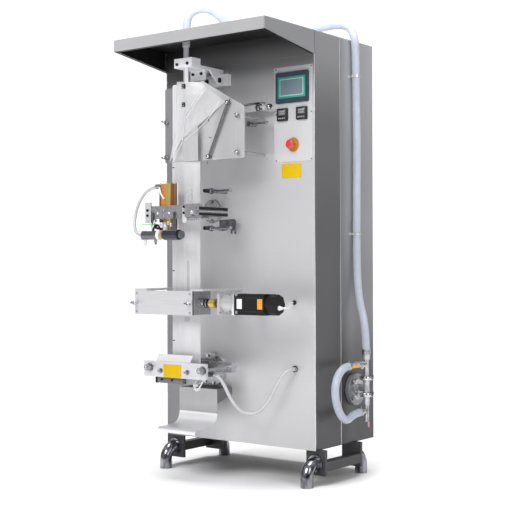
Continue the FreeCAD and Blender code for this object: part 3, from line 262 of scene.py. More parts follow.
# Heater: bars of dark and orange brown laminate, turned brass and copper, all with upright streaks.
brown_board = material("dark brown board", "#82501f", 0.4, 0.0, (3, 3, 60), 0.16, 0.1)
orange_board = material("orange brown board", "#bd7a3a", 0.36, 0.05, (3, 3, 70), 0.14, 0.1)
brass = material("turned brass", "#c3a85a", 0.3, 0.5, (4, 4, 50), 0.12, 0.08)
copper = material("copper bar", "#bd7c4c", 0.3, 0.4, (4, 4, 50), 0.14, 0.08)
# Packing film: milky polythene with soft long wrinkles, whiter where it lies double. Its greyer patches are partly the
# tube seen through it and partly painted shade beside the tube, and its bright lines along the creases are a painted
# highlight.
film_white = material("milky packing film", "#c7c7ca", 0.34, 0.0, (24, 24, 90), 0.04, 0.06, 1.4, Coat_Weight=0.2)
film_fold = material("single packing film", "#cbcbce", 0.28, 0.0, (30, 30, 70), 0.04, 0.06, 1.4, Alpha=0.8,
                     Coat_Weight=0.25)
film_shade = material("film over the tube with painted shade", "#b0b0b3", 0.36, 0.0, (24, 24, 90), 0.04, 0.06, 0.6)
film_crease_highlight = material("painted highlight on film creases", "#e2e2e5", 0.3, 0.0, (24, 24, 90), 0.03, 0.06, 0.4)
# Hoses: clear plastic over a spiral, bluish, with fine rings, and painted light that makes them brighter above the top
# sheet.
clear_hose = ribbed(shaded(
    material("clear reinforced hose", "#dfe6f4", 0.3, 0.0, (40, 40, 40), 0.05, 0.04, Transmission_Weight=0.3,
             Coat_Weight=0.4, IOR=1.15),
    "Z", [(200, 0.8), (1880, 0.86), (1960, 1.15), (2070, 1.3)]), 5, 0.35)
# Heater conduits: flexible metal tube with a grey coat, finely ringed.
grey_conduit = ribbed(material("coated flexible conduit", "#c3c3c6", 0.36, 0.1, (6, 6, 6), 0.04), 3, 0.12)
# Motor cable: smooth white sheath.
white_cable = material("white cable sheath", "#d4d4d6", 0.42, 0.0, (5, 5, 5), 0.04)

# Finishes of the CAD nodes, most of which stay as they are.
LOOKS = {
    front_steel: "front_panel",
    fold_steel: "right_side_panel",
    side_steel: "right_service_panel",
    back_steel: "left_side_panel back_panel",
    top_steel: "top_panel",
    shade_black_sheet: "base_panel",
    hood_steel: "hood",
    frame_paint: "side_frames",
    foot_chrome: "curved_feet",
    panel_paint: "control_panel",
    bezel_blue: "touch_screen",
    black_plastic: "temperature_controllers",
    yellow_plastic: "emergency_stop_base",
    former_steel: "former_plate",
    shade_steel: "former_carrier",
    chrome: "pipe_clamps",
    lever_chrome: "clamp_levers roller_clamp_lever",
    bracket_steel: "tube_bracket",
    scoop_steel: "film_scoop",
    pump_steel: "pump_base pump_body valve_body",
    flange_steel: "vertical_seal_mount cross_seal_mount",
    support_steel: "chute_support",
    bar_steel: "vertical_seal_frame",
    turning_steel: "film_turning_bar",
    tube_chrome: "filling_tube",
    rod_chrome: "jaw_guide_rods former_rods",
    bright_edge: "hose_clips",
    ground_steel: "guide_roller_brackets pull_roller_housing pull_unit_arms "
                  "gearbox_bracket front_jaw_plate front_jaw",
    dark_machined: "pressing_cylinders rear_jaw",
    white_plastic: "film_guide_roller",
    cast_grey: "gearbox",
    black_paint: "drive_motor",
    chute_steel: "discharge_chute",
    rubber: "cable_glands",
    screw_steel: "drive_roller pinch_roller valve_lever",
}
for look, names in LOOKS.items():
    for name in names.split():
        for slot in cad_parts[name].material_slots:
            slot.material = look


FRONT, BACK, RIGHT, UP, DOWN = (0, -1, 0), (0, 1, 0), (1, 0, 0), (0, 0, 1), (0, 0, -1)
# Lengths of a smooth wire between two of its places.
WIRE_STEPS = 6


def circle(centre, side, other, radius, count, turn=0.0):
    """Places on a circle with its radius in mm, in the plane of two directions."""
    angles = [turn + 2 * math.pi * n / count for n in range(count)]
    return [centre + (side * math.cos(a) + other * math.sin(a)) * radius / 1000 for a in angles]


class Piece:
    """One visible piece, gathered from parts in mm, each with its own material."""

    def __init__(self, name):
        self.name = name
        self.mesh = bmesh.new()
        self.materials = []

    def paint(self, faces, look):
        if look not in self.materials:
            self.materials.append(look)
        for face in faces:
            face.material_index = self.materials.index(look)

    def box(self, low, high, look, edge=0.6):
        """A block between two corners, with rounded edges."""
        before = set(self.mesh.faces)
        verts = bmesh.ops.create_cube(self.mesh, size=1)["verts"]
        low, high = at(*low), at(*high)
        for vert in verts:
            vert.co = Vector([low[i] + (vert.co[i] + 0.5) * (high[i] - low[i]) for i in range(3)])
        if edge:
            edges = list(dict.fromkeys(e for vert in verts for e in vert.link_edges))
            bmesh.ops.bevel(self.mesh, geom=edges, offset=edge / 1000, segments=2, affect="EDGES", profile=0.5)
        self.paint(set(self.mesh.faces) - before, look)

    def turned(self, start, axis, profile, look, sides=32, turn=0.0):
        """A profile of radius and distance pairs turned about an axis from its start, closed at both ends."""
        axis = Vector(axis).normalized()
        side = axis.orthogonal().normalized()
        other = axis.cross(side)
        start = at(*start)
        rings = []
        for radius, along in profile:
            centre = start + axis * along / 1000
            places = circle(centre, side, other, radius, sides, turn) if radius > 0 else [centre]
            rings.append([self.mesh.verts.new(place) for place in places])
        faces = []
        for first, last in zip(rings, rings[1:]):
            for i in range(sides):
                j = (i + 1) % sides
                corners = [first[i % len(first)], first[j % len(first)], last[j % len(last)], last[i % len(last)]]
                unique = [v for n, v in enumerate(corners) if v not in corners[:n]]
                if len(unique) > 2:
                    faces.append(self.mesh.faces.new(unique))
        for ring in (rings[0], rings[-1]):
            if len(ring) > 2:
                faces.append(self.mesh.faces.new(ring))
        self.paint(faces, look)

    def grid(self, rows, look, closed=False):
        """A skin through rows of places; closed joins each row's end to its start. Gives its rows of points."""
        verts = [[self.mesh.verts.new(place) for place in row] for row in rows]
        faces = []
        for first, last in zip(verts, verts[1:]):
            count = len(first)
            for i in range(count if closed else count - 1):
                j = (i + 1) % count
                faces.append(self.mesh.faces.new([first[i], first[j], last[j], last[i]]))
        self.paint(faces, look)
        return verts

    def wire(self, points, radius, look, sides=10):
        """A round wire along a smooth line through the given places."""
        points = [at(*p) for p in points]
        last = len(points) - 1
        line = []
        for i in range(last):
            a, b, c, d = points[max(0, i - 1)], points[i], points[i + 1], points[min(last, i + 2)]
            for n in range(WIRE_STEPS + (i == last - 1)):
                t = n / WIRE_STEPS
                line.append(0.5 * ((2 * b) + (c - a) * t + (2 * a - 5 * b + 4 * c - d) * t * t
                                   + (3 * b - a - 3 * c + d) * t * t * t))
        rows = []
        side = (line[1] - line[0]).orthogonal().normalized()
        for i, place in enumerate(line):
            ahead = (line[min(i + 1, len(line) - 1)] - line[max(i - 1, 0)]).normalized()
            side = (side - ahead * side.dot(ahead)).normalized()
            rows.append(circle(place, side, ahead.cross(side), radius, sides))
        rings = self.grid(rows, look, True)
        self.paint([self.mesh.faces.new(ring) for ring in (rings[-1], rings[0])], look)

    def done(self, body="machine", replaces=(), smooth=35):
        """Makes the piece, smooth up to an angle in degrees, and puts it on its body."""
        bmesh.ops.recalc_face_normals(self.mesh, faces=self.mesh.faces)
        data = bpy.data.meshes.new(self.name)
        self.mesh.to_mesh(data)
        self.mesh.free()
        for look in self.materials:
            data.materials.append(look)
        data.shade_smooth()
        data.set_sharp_from_angle(angle=math.radians(smooth))
        item = bpy.data.objects.new(self.name, data)
        bpy.context.collection.objects.link(item)
        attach(item, body)
        if replaces:
            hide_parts(*replaces)


# Profiles of the fasteners: pairs of radius and distance, as shares of the head's radius.
CAP_HEAD = [(1, 0), (1, 0.8075), (0.88, 0.95), (0.52, 0.95)]
CAP_RECESS = [(0.52, 0.9405), (0.5, 0.3325), (0, 0.3325)]
PAN_HEAD = [(1, 0), (0.95, 0.3), (0.6, 0.5), (0, 0.56)]
HEX_WASHER = [(1.25, 0), (1.25, 0.16)]
HEX_HEAD = [(1, 0.16), (1, 0.72), (0.86, 0.84)]
THREAD_END = [(0.5, 0.8), (0.5, 1.1), (0.4, 1.2)]
NUT_WASHER = [(1.3, 0), (1.3, 0.18)]
NUT_HEXAGON = [(1, 0.18), (1, 0.9), (0.9, 1)]
NUT_DOME = [(0.82 * math.cos(a), 0.95 + 0.9 * math.sin(a)) for a in [i * math.pi / 16 for i in range(8)]] + [(0, 1.85)]


def fastener(piece, place, axis, radius, *parts):
    """Turns the parts of a fastener, each a profile, its material, its number of sides and its turn."""
    for profile, look, sides, turn in parts:
        piece.turned(place, axis, [(wide * radius, along * radius) for wide, along in profile], look, sides, turn)


def socket_screw(piece, place, axis, radius, look=black_screw, inside=black_plastic):
    """A socket head cap screw with its hexagon recess."""
    fastener(piece, place, axis, radius, (CAP_HEAD, look, 24, 0), (CAP_RECESS, inside, 6, 0))


def hex_bolt(piece, place, axis, radius, look=screw_steel):
    """A hexagon head with its washer and the end of the thread."""
    fastener(piece, place, axis, radius, (HEX_WASHER, look, 28, 0), (HEX_HEAD, look, 6, 0.3), (THREAD_END, look, 20, 0))


def acorn_nut(piece, place, axis, radius, look=chrome):
    """A domed nut on its washer."""
    fastener(piece, place, axis, radius, (NUT_WASHER, look, 28, 0), (NUT_HEXAGON, look, 6, 0.2),
             (NUT_DOME, look, 28, 0))


def pan_head(piece, place, axis, radius, look=screw_steel):
    """A low round screw head."""
    fastener(piece, place, axis, radius, (PAN_HEAD, look, 22, 0))


def repeat_tree(name, inputs):
    """A geometry tree with named inputs; gives the tree and its inputs' sockets."""
    tree = bpy.data.node_groups.new(name, "GeometryNodeTree")
    for label, kind in inputs.items():
        tree.interface.new_socket(label, in_out="INPUT", socket_type=kind)
    tree.interface.new_socket("Geometry", in_out="OUTPUT", socket_type="NodeSocketGeometry")
    return tree, node(tree, "NodeGroupInput").outputs


def close_tree(tree, instances, look):
    """Makes the repeats real, gives them their material and ends the tree."""
    real = node(tree, "GeometryNodeRealizeInstances", Geometry=instances)
    painted = node(tree, "GeometryNodeSetMaterial", Geometry=real, Material=look)
    node(tree, "NodeGroupOutput", Geometry=painted)


# A ring of hexagon bolts around the local Z axis: washer, head and thread end are drawn for a head of radius 1, then
# sized. Each has its sides, radius, height and middle.
bolt_ring, given = repeat_tree("ring of bolts", {"Bolts": "NodeSocketInt", "Circle": "NodeSocketFloat",
                                                 "Head": "NodeSocketFloat", "Look": "NodeSocketMaterial"})
spots = node(bolt_ring, "GeometryNodeMeshCircle", Vertices=given["Bolts"], Radius=given["Circle"])
bolt = node(bolt_ring, "GeometryNodeJoinGeometry")
for sides, wide, high, middle in ((28, 1.25, 0.16, 0.08), (6, 1.0, 0.58, 0.45), (20, 0.5, 0.36, 0.9)):
    part = node(bolt_ring, "GeometryNodeMeshCylinder", Vertices=sides, Radius=wide, Depth=high)
    lifted = node(bolt_ring, "GeometryNodeTransform", Geometry=part, Translation=(0, 0, middle))
    bolt_ring.links.new(lifted.outputs["Geometry"], bolt.inputs["Geometry"])
bevel = node(bolt_ring, "GeometryNodeMeshCone", Vertices=6, Radius_Bottom=1.0, Radius_Top=0.84, Depth=0.1)
lifted = node(bolt_ring, "GeometryNodeTransform", Geometry=bevel, Translation=(0, 0, 0.74))
bolt_ring.links.new(lifted.outputs["Geometry"], bolt.inputs["Geometry"])
bolts = node(bolt_ring, "GeometryNodeInstanceOnPoints", Points=spots, Instance=bolt, Scale=given["Head"])
close_tree(bolt_ring, bolts, given["Look"])

# A row of flat round ribs along the local Z axis.
rib_row, given = repeat_tree("row of ribs", {"Ribs": "NodeSocketInt", "Step": "NodeSocketFloat",
                                             "Radius": "NodeSocketFloat", "Width": "NodeSocketFloat",
                                             "Look": "NodeSocketMaterial"})
step = node(rib_row, "ShaderNodeCombineXYZ", Z=given["Step"])
spots = node(rib_row, "GeometryNodeMeshLine", Count=given["Ribs"], Offset=step)
rib = node(rib_row, "GeometryNodeMeshCylinder", Vertices=40, Radius=given["Radius"], Depth=given["Width"])
close_tree(rib_row, node(rib_row, "GeometryNodeInstanceOnPoints", Points=spots, Instance=rib), given["Look"])

# Turns that bring the local Z axis to the front and to the right.
TO_FRONT = Matrix(((1, 0, 0), (0, 0, -1), (0, 1, 0))).to_4x4()
TO_RIGHT = Matrix(((0, 0, 1), (1, 0, 0), (0, 1, 0))).to_4x4()


def repeated(name, tree, place, turn, body, **values):
    """Runs a tree with its named values and keeps the result as a plain piece."""
    item = bpy.data.objects.new(name, bpy.data.meshes.new(name))
    bpy.context.collection.objects.link(item)
    modifier = item.modifiers.new("repeats", "NODES")
    modifier.node_group = tree
    for socket in tree.interface.items_tree:
        if socket.in_out == "INPUT":
            modifier[socket.identifier] = values[socket.name]
    mesh = bpy.data.meshes.new_from_object(item.evaluated_get(bpy.context.evaluated_depsgraph_get()))
    item.modifiers.clear()
    mesh.transform(Matrix.Translation(at(*place)) @ turn)
    mesh.shade_smooth()
    mesh.set_sharp_from_angle(angle=math.radians(35))
    item.data = mesh
    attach(item, body)


def cord(name, body, look, radius, points):
    """A hose or cable along its route, with its radius in mm and its length in metres."""
    curve = bpy.data.curves.new(name, "CURVE")
    curve.dimensions = "3D"
    curve.bevel_depth = radius / 1000
    curve.bevel_resolution = 7
    curve.resolution_u = 10
    curve.use_fill_caps = True
    spline = curve.splines.new("NURBS")
    places = [at(*p) for p in points]
    spline.points.add(len(places) - 1)
    for point, place in zip(spline.points, places):
        point.co = (*place, 1)
    spline.order_u = 3
    spline.use_endpoint_u = True
    curve.materials.append(look)
    item = bpy.data.objects.new(name + "_run", curve)
    bpy.context.collection.objects.link(item)
    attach(item, body)
    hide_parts(name)


# Cords first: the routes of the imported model, as smooth lines.
HOSE = 17
cord("product_hose", "machine", clear_hose, HOSE, [
    (-122, -200, 1900), (-122, -200, 1962), (-114, -193, 2022), (-80, -163, 2048), (-45, -132, 2048),
    (-5, -96, 2004), (38, -52, 1944), (110, 40, 1941), (185, 190, 1952), (235, 272, 1988), (330, 290, 2000),
    (404, 284, 1984), (436, 284, 1936), (436, 292, 1850), (434, 297, 1700), (435.5, 302, 1450), (432.5, 298, 1060),
    (438.5, 296, 800), (479.5, 298, 660), (479.5, 298, 538)])
cord("loop_hose", "machine", clear_hose, HOSE, [
    (479.5, 162, 497), (479.5, 112, 497), (479.5, 55, 450), (479.5, 45, 380), (479.5, 75, 310), (479.5, 130, 262),
    (479.5, 200, 292), (479.5, 254, 292)])
cord("jaw_conduit", "machine", grey_conduit, 7.5, [
    (9, -176, 460), (32, -176, 460), (54, -163, 420), (78, -143, 350), (118, -122, 300), (178, -98, 298),
    (222, -75, 350), (254, -56, 425), (284, -52, 474), (311, -42, 489), (311, -14, 489)])
cord("motor_cable", "machine", white_cable, 4, [
    (388, -225, 756), (404, -225, 756), (408, -180, 757), (366, -100, 764), (308, -50, 771), (308, -14, 771)])
cord("heater_conduit", "vertical_seal_carriage", grey_conduit, 6, [
    (-196, -280, 1272), (-232, -280, 1272), (-285, -286, 1253), (-324, -298, 1190), (-326, -316, 1110),
    (-300, -326, 1060), (-264, -326, 1060)])

# Folded edges of the cabinet as thin strips with a painted highlight, and the seam of the service panel.
trim = Piece("cabinet_trim")
trim.box((411.2, -0.35, 151), (412.9, 3.5, 1822), bright_edge, 0.4)
trim.box((-412.9, -0.35, 151), (-411.2, 3.5, 1822), bright_edge, 0.4)
trim.box((412.4, 197.6, 152), (413.3, 200.6, 1918), bright_edge, 0.2)
trim.box((412.3, 200.8, 152), (412.7, 203.2, 1918), dark_machined, 0)
trim.done()

# Painted shade inside the hood: a near black skin on roof, skirts and the underside of the folded lips, and the front
# sheet under the hood, painted darker upwards.
hood_shade = Piece("hood_painted_shade")


def hood_low(y):
    """Height of the hood's lower edge, which rises towards the front."""
    return 1820 - 50 * y / 350


hood_shade.box((-410.3, -347.8, 1917.2), (410.3, -0.6, 1917.8), shade_black_sheet, 0)
for x in (-410.3, 409.9):
    hood_shade.grid([[at(x, y, hood_low(y) + 2.4), at(x, y, 1917.5)] for y in (-347, -175, -2)], shade_black_sheet)
hood_shade.grid([[at(x, -347.6, 1872.6), at(x, -347.6, 1917.5)] for x in (-410, 0, 410)], shade_black_sheet)
for x0, x1 in ((-412.3, -398.7), (398.7, 412.3)):
    hood_shade.grid([[at(x0, y, hood_low(y) - 0.3), at(x1, y, hood_low(y) - 0.3)] for y in (-349.5, -2)], shade_black_sheet)
hood_shade.grid([[at(x, y, hood_low(y) - 0.3) for y in (-349.5, -336.2)] for x in (-412.3, 412.3)], shade_black_sheet)
hood_shade.grid([[at(x, -3.3, z) for x in (-409.5, -200, 0, 200, 409.5)] for z in (1820.4, 1850, 1885, 1916.8)],
            front_steel)
hood_shade.box((-409.5, -3.4, 1819.3), (409.5, -0.3, 1820.5), front_steel, 0)
hood_shade.box((-409.6, -17, 1824), (-408.8, -2, 1914), dark_machined, 0.2)
for z in (1905, 1872, 1832):
    pan_head(hood_shade, (-408.8, -9, z), RIGHT, 3)
hood_shade.done()


# Control panel: screen, controllers, screws and the bare yellow foil.
panel = Piece("control_details")
panel.box((233, -12.9, 1643), (374, -12.1, 1733), bezel_green, 0.3)
panel.box((243, -13.3, 1652), (365, -12.7, 1724), screen_rim, 0.3)
panel.box((246, -13.7, 1655), (362, -13.1, 1721), screen_glass, 0.3)
for x in (253, 353):
    panel.box((x - 24, -13.6, 1549), (x + 24, -11.8, 1599), black_plastic, 1.2)
    panel.box((x - 19, -14.2, 1571), (x + 19, -13.2, 1594), dark_machined, 0.3)
    panel.box((x - 15, -14.5, 1583.5), (x + 15, -14.0, 1591), button_grey, 0.2)
    panel.box((x - 15, -14.5, 1574), (x + 15, -14.0, 1580.5), button_grey, 0.2)
    for key in range(4):
        panel.box((x - 18 + 9.6 * key, -14.8, 1555), (x - 11 + 9.6 * key, -13.2, 1561), button_grey, 0.8)
for x, z in ((217, 1770), (399, 1770), (217, 1378), (399, 1378), (217, 1577), (399, 1577)):
    pan_head(panel, (x, -3.0, z), FRONT, 3.4, dark_machined)
panel.box((244, -0.9, 1302), (344, -0.1, 1363), yellow_foil, 0.2)
panel.done()

stop = Piece("emergency_stop_head")
stop.turned((306, -12.4, 1443), FRONT,
            [(8, 0), (8, 7), (14.6, 7.6), (15.6, 9), (16.6, 12), (19.4, 14.6), (20, 17), (19.6, 20), (17.4, 22.2),
             (12, 23.3), (6, 23.7), (0, 23.8)], red_plastic, 40)
stop.done("stop_button", ["emergency_stop_button"])

# Filling tube's clamp block, its bracket screws and the film clips on the tube.
bracket = Piece("tube_bracket_screws")
for x in (-157, -98.5):
    socket_screw(bracket, (x, -220.1, 1804), FRONT, 6.5, black_screw, chrome)
for x in (-154, -81):
    bracket.turned((x, -27.0, 1752), FRONT, [(15, 0), (15, 1.4)], black_screw, 32)
    socket_screw(bracket, (x, -28.1, 1752), FRONT, 12, black_screw, chrome)
for x in (-154, -107):
    socket_screw(bracket, (x, -116.1, 1773.5), FRONT, 6.5, black_screw, chrome)
bracket.done()
clips = Piece("tube_clips")
for z in (1706, 1626):
    clips.box((-131, -221.5, z - 8), (-121, -217, z + 10), screw_steel, 1)
    clips.box((-117, -222, z - 10), (-112.5, -217, z + 9), black_screw, 1)
    for dz in (-8, 0.5, 8):
        clips.wire([(-130, -222, z + dz - 1), (-122, -223.5, z + dz + 1), (-114, -221.5, z + dz)], 1.5, black_screw)
clips.done()

# Film: the sleeve around the tube, slightly wrinkled, swelling from the flat seal at its foot to the tube's width.
SLEEVE_X, SLEEVE_Y, SLEEVE_HALF = -125, -200, 79
SLEEVE_FOOT, SLEEVE_TOP, SWELL_OVER, SWELL = 492, 1380, 128, 13
TUBE_X, TUBE_REACH = -122, 62
film = Piece("film_sleeve_skin")


def skin(x, z, side=1):
    """Depth of the sleeve's front or back skin at a place."""
    swell = min(1, (z - SLEEVE_FOOT) / SWELL_OVER)
    swell = SWELL * (3 * swell ** 2 - 2 * swell ** 3) + 1.2
    across = (x - SLEEVE_X) / SLEEVE_HALF
    bulge = swell * max(0.0, 1 - abs((x - TUBE_X) / TUBE_REACH)) ** 0.75
    wrinkle = 0.5 * math.sin(z / 31 + 3.1 * across) * math.sin(z / 77 + 5 * across) * (1 - across * across)
    return SLEEVE_Y - side * (1.0 + bulge + wrinkle)


rows = []
for i in range(91):
    z = SLEEVE_FOOT + (SLEEVE_TOP - SLEEVE_FOOT) * i / 90
    across = [SLEEVE_X + SLEEVE_HALF * (n / 12 - 1) for n in range(25)]
    rows.append([at(x, skin(x, z), z) for x in across] + [at(x, skin(x, z, -1), z) for x in across[::-1]])
film.grid(rows, film_white, True)


def on_skin(x0, x1, z0, z1, look, lift=0.4):
    """A mark that follows the sleeve's front skin."""
    film.grid([[at(x, skin(x, z) - lift, z) for x in [x0 + (x1 - x0) * n / 4 for n in range(5)]]
               for z in [z0 + (z1 - z0) * i / 8 for i in range(9)]], look)


# Painted shade on the film beside and over the tube, and painted highlights along the crease lines.
on_skin(-111, -94, 822, 949, film_shade)
on_skin(-123, -97, 686, 706, film_shade)
on_skin(-123.5, -121.5, 968, 1378, film_crease_highlight)
on_skin(-96, -94, 822, 949, film_crease_highlight, 0.7)
for z in (1357, 905, 600):
    on_skin(-203, -191, z, z + 4.5, black_plastic)
film.done(replaces=["film_sleeve"], smooth=60)

# Film folded over the former plate, greyer where it lies over the tube with painted shade, and with its creases drawn
# as thin wires of painted highlight.
NET = 14
folds = Piece("folded_film_skin")


def film_patch(corners, fullness, look=film_fold):
    """A four-cornered film drawn as a fine net with a slight fullness towards the front."""
    a, b, c, d = [Vector(p) for p in corners]
    rows = []
    for v in [i / NET for i in range(NET + 1)]:
        row = []
        for u in [n / NET for n in range(NET + 1)]:
            p = (a * (1 - u) + b * u) * (1 - v) + (d * (1 - u) + c * u) * v
            middle = math.sin(math.pi * u) * math.sin(math.pi * v)
            row.append(at(p.x, p.y - fullness * middle * (1 + 0.35 * math.sin(7 * u + 4 * v)), p.z))
        rows.append(row)
    folds.grid(rows, look)


film_patch([(-163, -216, 1730), (-113, -216, 1725), (-113, -221, 1581), (-163, -216, 1581)], 2)
film_patch([(-163, -216, 1581), (-113, -221, 1581), (-138, -220, 1472), (-205, -216, 1382)], 2)
film_patch([(-48, -186, 1722), (-16, -186, 1693), (-113, -220.5, 1581), (-113, -216.5, 1725)], 1.5)
film_patch([(-16, -186, 1693), (84, -186, 1626), (-138, -219.5, 1472), (-113, -220.5, 1581)], 3)
film_patch([(-127, -219.5, 1474), (-46, -215, 1533), (-46, -213, 1380), (-127, -218, 1380)], 1, film_shade)
for crease in ([(-2.6, 1697.6), (-41.1, 1657.1), (-109.5, 1583.7)],
               [(-109.5, 1583.7), (-119.4, 1514.7), (-125.8, 1465.7)],
               [(-125.8, 1465.7), (-155, 1422), (-186, 1378)], [(-10.5, 1671), (-49.6, 1627.3), (-103.3, 1567.2)],
               [(80, 1622), (1.7, 1540), (-113.3, 1470)]):
    folds.wire([(x, -223.4, z) for x, z in crease], 1.1, film_crease_highlight, 8)
folds.done(replaces=["folded_film"], smooth=60)

# Film web: level from the slot over the roller, then rising to the former plate while it narrows.
web = Piece("film_web_skin")
web_rows = []
for y, z, x0, x1 in ((-2, 1630, -170, 134), (-22, 1628, -170, 134), (-34, 1625.5, -170, 134),
                     (-42, 1625.2, -168, 134), (-52, 1628, -165, 136)):
    web_rows.append([at(x0 + (x1 - x0) * n / 20, y, z) for n in range(21)])
left, right = Vector((-165, -52, 1628)), Vector((136, -52, 1628))
end_left, end_right = Vector((-40, -179.6, 1724.6)), Vector((168, -179.6, 1608.6))
for t in [i / 12 for i in range(1, 13)]:
    a, b = left.lerp(end_left, t), right.lerp(end_right, t)
    sag = Vector((0, 0, -1.5 * math.sin(math.pi * t)))
    web_rows.append([at(*(a.lerp(b, n / 20) + sag)) for n in range(21)])
web.grid(web_rows, film_fold)
web.done(replaces=["film_web"], smooth=60)

# Former plate: slot marks, the screws at the ends of the turning bar and the ends of the rods.
marks = Piece("former_marks")
for (x0, z0), (x1, z1) in (((-14, 1563), (-7, 1547)), ((-8, 1480), (5, 1477))):
    marks.wire([(x0, -185.3, z0), ((x0 + x1) / 2, -185.3, (z0 + z1) / 2), (x1, -185.3, z1)], 1.6, black_plastic)
for x, z in ((0, 1395), (104, 1618)):
    pan_head(marks, (x, -206.1, z), FRONT, 7, chrome)
for (x0, z0), (x1, z1) in (((110, 1638), (102, 1622)), ((-12, 1382), (-20, 1366))):
    marks.wire([(x0, -186.3, z0), ((x0 + x1) / 2, -186.3, (z0 + z1) / 2), (x1, -186.3, z1)], 1.4, black_plastic)
for x in (-252, 156):
    for z in (1404, 1564):
        marks.turned((x, -201.2, z), FRONT, [(5.6, 0), (5.6, 6), (3.8, 7), (3.8, 15), (2.6, 16.5), (0, 16.5)],
                     chrome, 24)
marks.done()

# Guide roller: collars, knob, screws and a black strip along the film slot as its painted shadow.
roller = Piece("guide_roller_details")
for x, radius, look in ((144, 13, black_screw), (152, 14, chrome), (160, 13, black_screw)):
    roller.turned((x, -42, 1609), RIGHT, [(radius - 1, 0), (radius, 1), (radius, 5), (radius - 1, 6)], look, 32)
roller.turned((198, -42, 1609), RIGHT, [(9, 0), (11, 2), (12.5, 7), (12.5, 13), (10, 17), (0, 18.5)], chrome, 32)
roller.turned((212, -42, 1612), RIGHT, [(7.5, 0), (9, 4), (7, 8), (0, 9.5)], black_plastic, 24)
for z in (1618, 1600):
    socket_screw(roller, (177, -57.1, z), FRONT, 4)
# Black strip along the film slot: painted shadow.
roller.box((38, -1.2, 1621), (124, -0.2, 1640), black_plastic, 0)
roller.done()

# Clamp levers: knurled hubs and slotted arms.
levers = Piece("clamp_lever_details")
for z in (1255, 1092):
    levers.turned((-62, -99.5, z), FRONT, [(12.5, 0), (13.5, 1.2), (13.5, 5.5), (12.5, 6.7)], dark_machined, 36)
    levers.turned((-62, -124.1, z), FRONT, [(11, 0), (10, 2), (6, 2.2), (6, 1)], chrome, 32)
    levers.turned((-50, -112, z), RIGHT, [(7.5, 0), (7, 14), (5.2, 26)], chrome, 24)
    levers.turned((-62, -126, z), FRONT, [(8, 0), (8.6, 1), (8.6, 26), (7.6, 27), (0, 27)], black_plastic, 28)
levers.done()

# Vertical sealer: heater bars, drilled front bar, ears, wires and the pressing cylinders with their ribs.
CYLINDER_Y, CYLINDER_Z = -326, 1060
heater = Piece("heater_bars")
for x0, x1, y0, y1, look in ((-196, -183.5, -296, -270, brown_board), (-183, -156.5, -299, -270, orange_board),
                             (-156, -129.5, -300, -270, brass), (-129, -126, -298, -277, brown_board),
                             (-136, -126, -276.5, -260.5, copper)):
    heater.box((x0, y0, 1072), (x1, y1, 1282), look, 1.2)
heater.box((-196, -260.5, 1080), (-126, -258.4, 1274), ground_steel, 0.5)
heater.box((-123.5, -269, 1074), (-121, -266, 1284), black_plastic, 0.6)
heater.box((-119, -268, 1074), (-114.5, -263, 1284), white_plastic, 1.5)
for z in (1268, 1086):
    pan_head(heater, (-158, -300.1, z), FRONT, 4)
heater.done("vertical_seal_carriage", ["vertical_heater"])
seal = Piece("vertical_seal_details")
for x in (-189, -124):
    seal.turned((x, -314.2, 1154), FRONT, [(4.6, 0), (5.2, 0.6), (4.6, 1.2), (0, 1.2)], white_plastic, 24)
for z in (1168, 1144):
    pan_head(seal, (-155.5, -314.1, z), FRONT, 5)
for z in (1168, 1146):
    socket_screw(seal, (-241, -319.7, z), FRONT, 5.6)
for z in (1178, 1152):
    socket_screw(seal, (-34, -320.2, z), FRONT, 5.5)
seal.box((-256.6, -319.6, 1114.4), (-223.4, -319.05, 1201.6), ground_steel, 0)
seal.box((-45, -320, 1112), (-24, -314.2, 1184), ground_steel, 0.8)
acorn_nut(seal, (24, -326.2, 1152), FRONT, 12.4)
for x in (-14, -3, 8, 19, 30, 41):
    seal.turned((x, -318, 1128), DOWN, [(3.4, 0), (3.4, 5), (2.2, 6), (2.2, 10)], screw_steel, 14)
for x0, x1, z in ((-212, -196, 1100), (-190, -176, 1096), (-168, -156, 1104), (-150, -138, 1092)):
    seal.box((x0, -322, z - 12), (x1, -306, z + 10), black_plastic if x0 < -180 else white_plastic, 1.2)
    pan_head(seal, ((x0 + x1) / 2, -322, z), FRONT, 3.4)
seal.wire([(-196, -281, 1272), (-186, -300, 1284), (-166, -306, 1292), (-150, -300, 1288)], 3.6, white_sleeving)
seal.wire([(-196, -284, 1266), (-186, -304, 1262), (-172, -312, 1238), (-158, -308, 1216)], 3.6, white_sleeving)
seal.wire([(-228, -318, 1118), (-214, -326, 1090), (-200, -328, 1104), (-196, -326, 1124)], 3.0, white_sleeving)
seal.turned((-230, -280, 1272), RIGHT,
            [(8, 0), (10.5, 3), (10.5, 12), (8.5, 13), (8.5, 18), (11, 19), (11, 28), (7, 33)], screw_steel, 28)
seal.turned((-264, CYLINDER_Y, CYLINDER_Z), RIGHT, [(19.3, 0), (19.6, 2), (19.3, 4)], ground_steel, 40)
seal.turned((-176, CYLINDER_Y, CYLINDER_Z), RIGHT, [(19.2, 0), (20.6, 1), (20.6, 15), (19.2, 16)], white_plastic, 40)
seal.turned((-158, CYLINDER_Y, CYLINDER_Z), RIGHT, [(14, 0), (15.6, 1), (15.6, 9), (14, 10)], brass, 36)
repeated("cylinder_ribs", rib_row, (-134.2, CYLINDER_Y, CYLINDER_Z), TO_RIGHT, "vertical_seal_carriage",
         Ribs=16, Step=0.005, Radius=0.0218, Width=0.003, Look=black_plastic)
seal.turned((-138, CYLINDER_Y, CYLINDER_Z), RIGHT, [(20, 0), (21.2, 0.6), (21.2, 79.4), (20, 80)], dark_machined, 40)
seal.turned((-58, CYLINDER_Y, CYLINDER_Z), RIGHT, [(19.4, 0), (21, 0.4), (21, 6), (19.6, 7)], black_paint, 40)
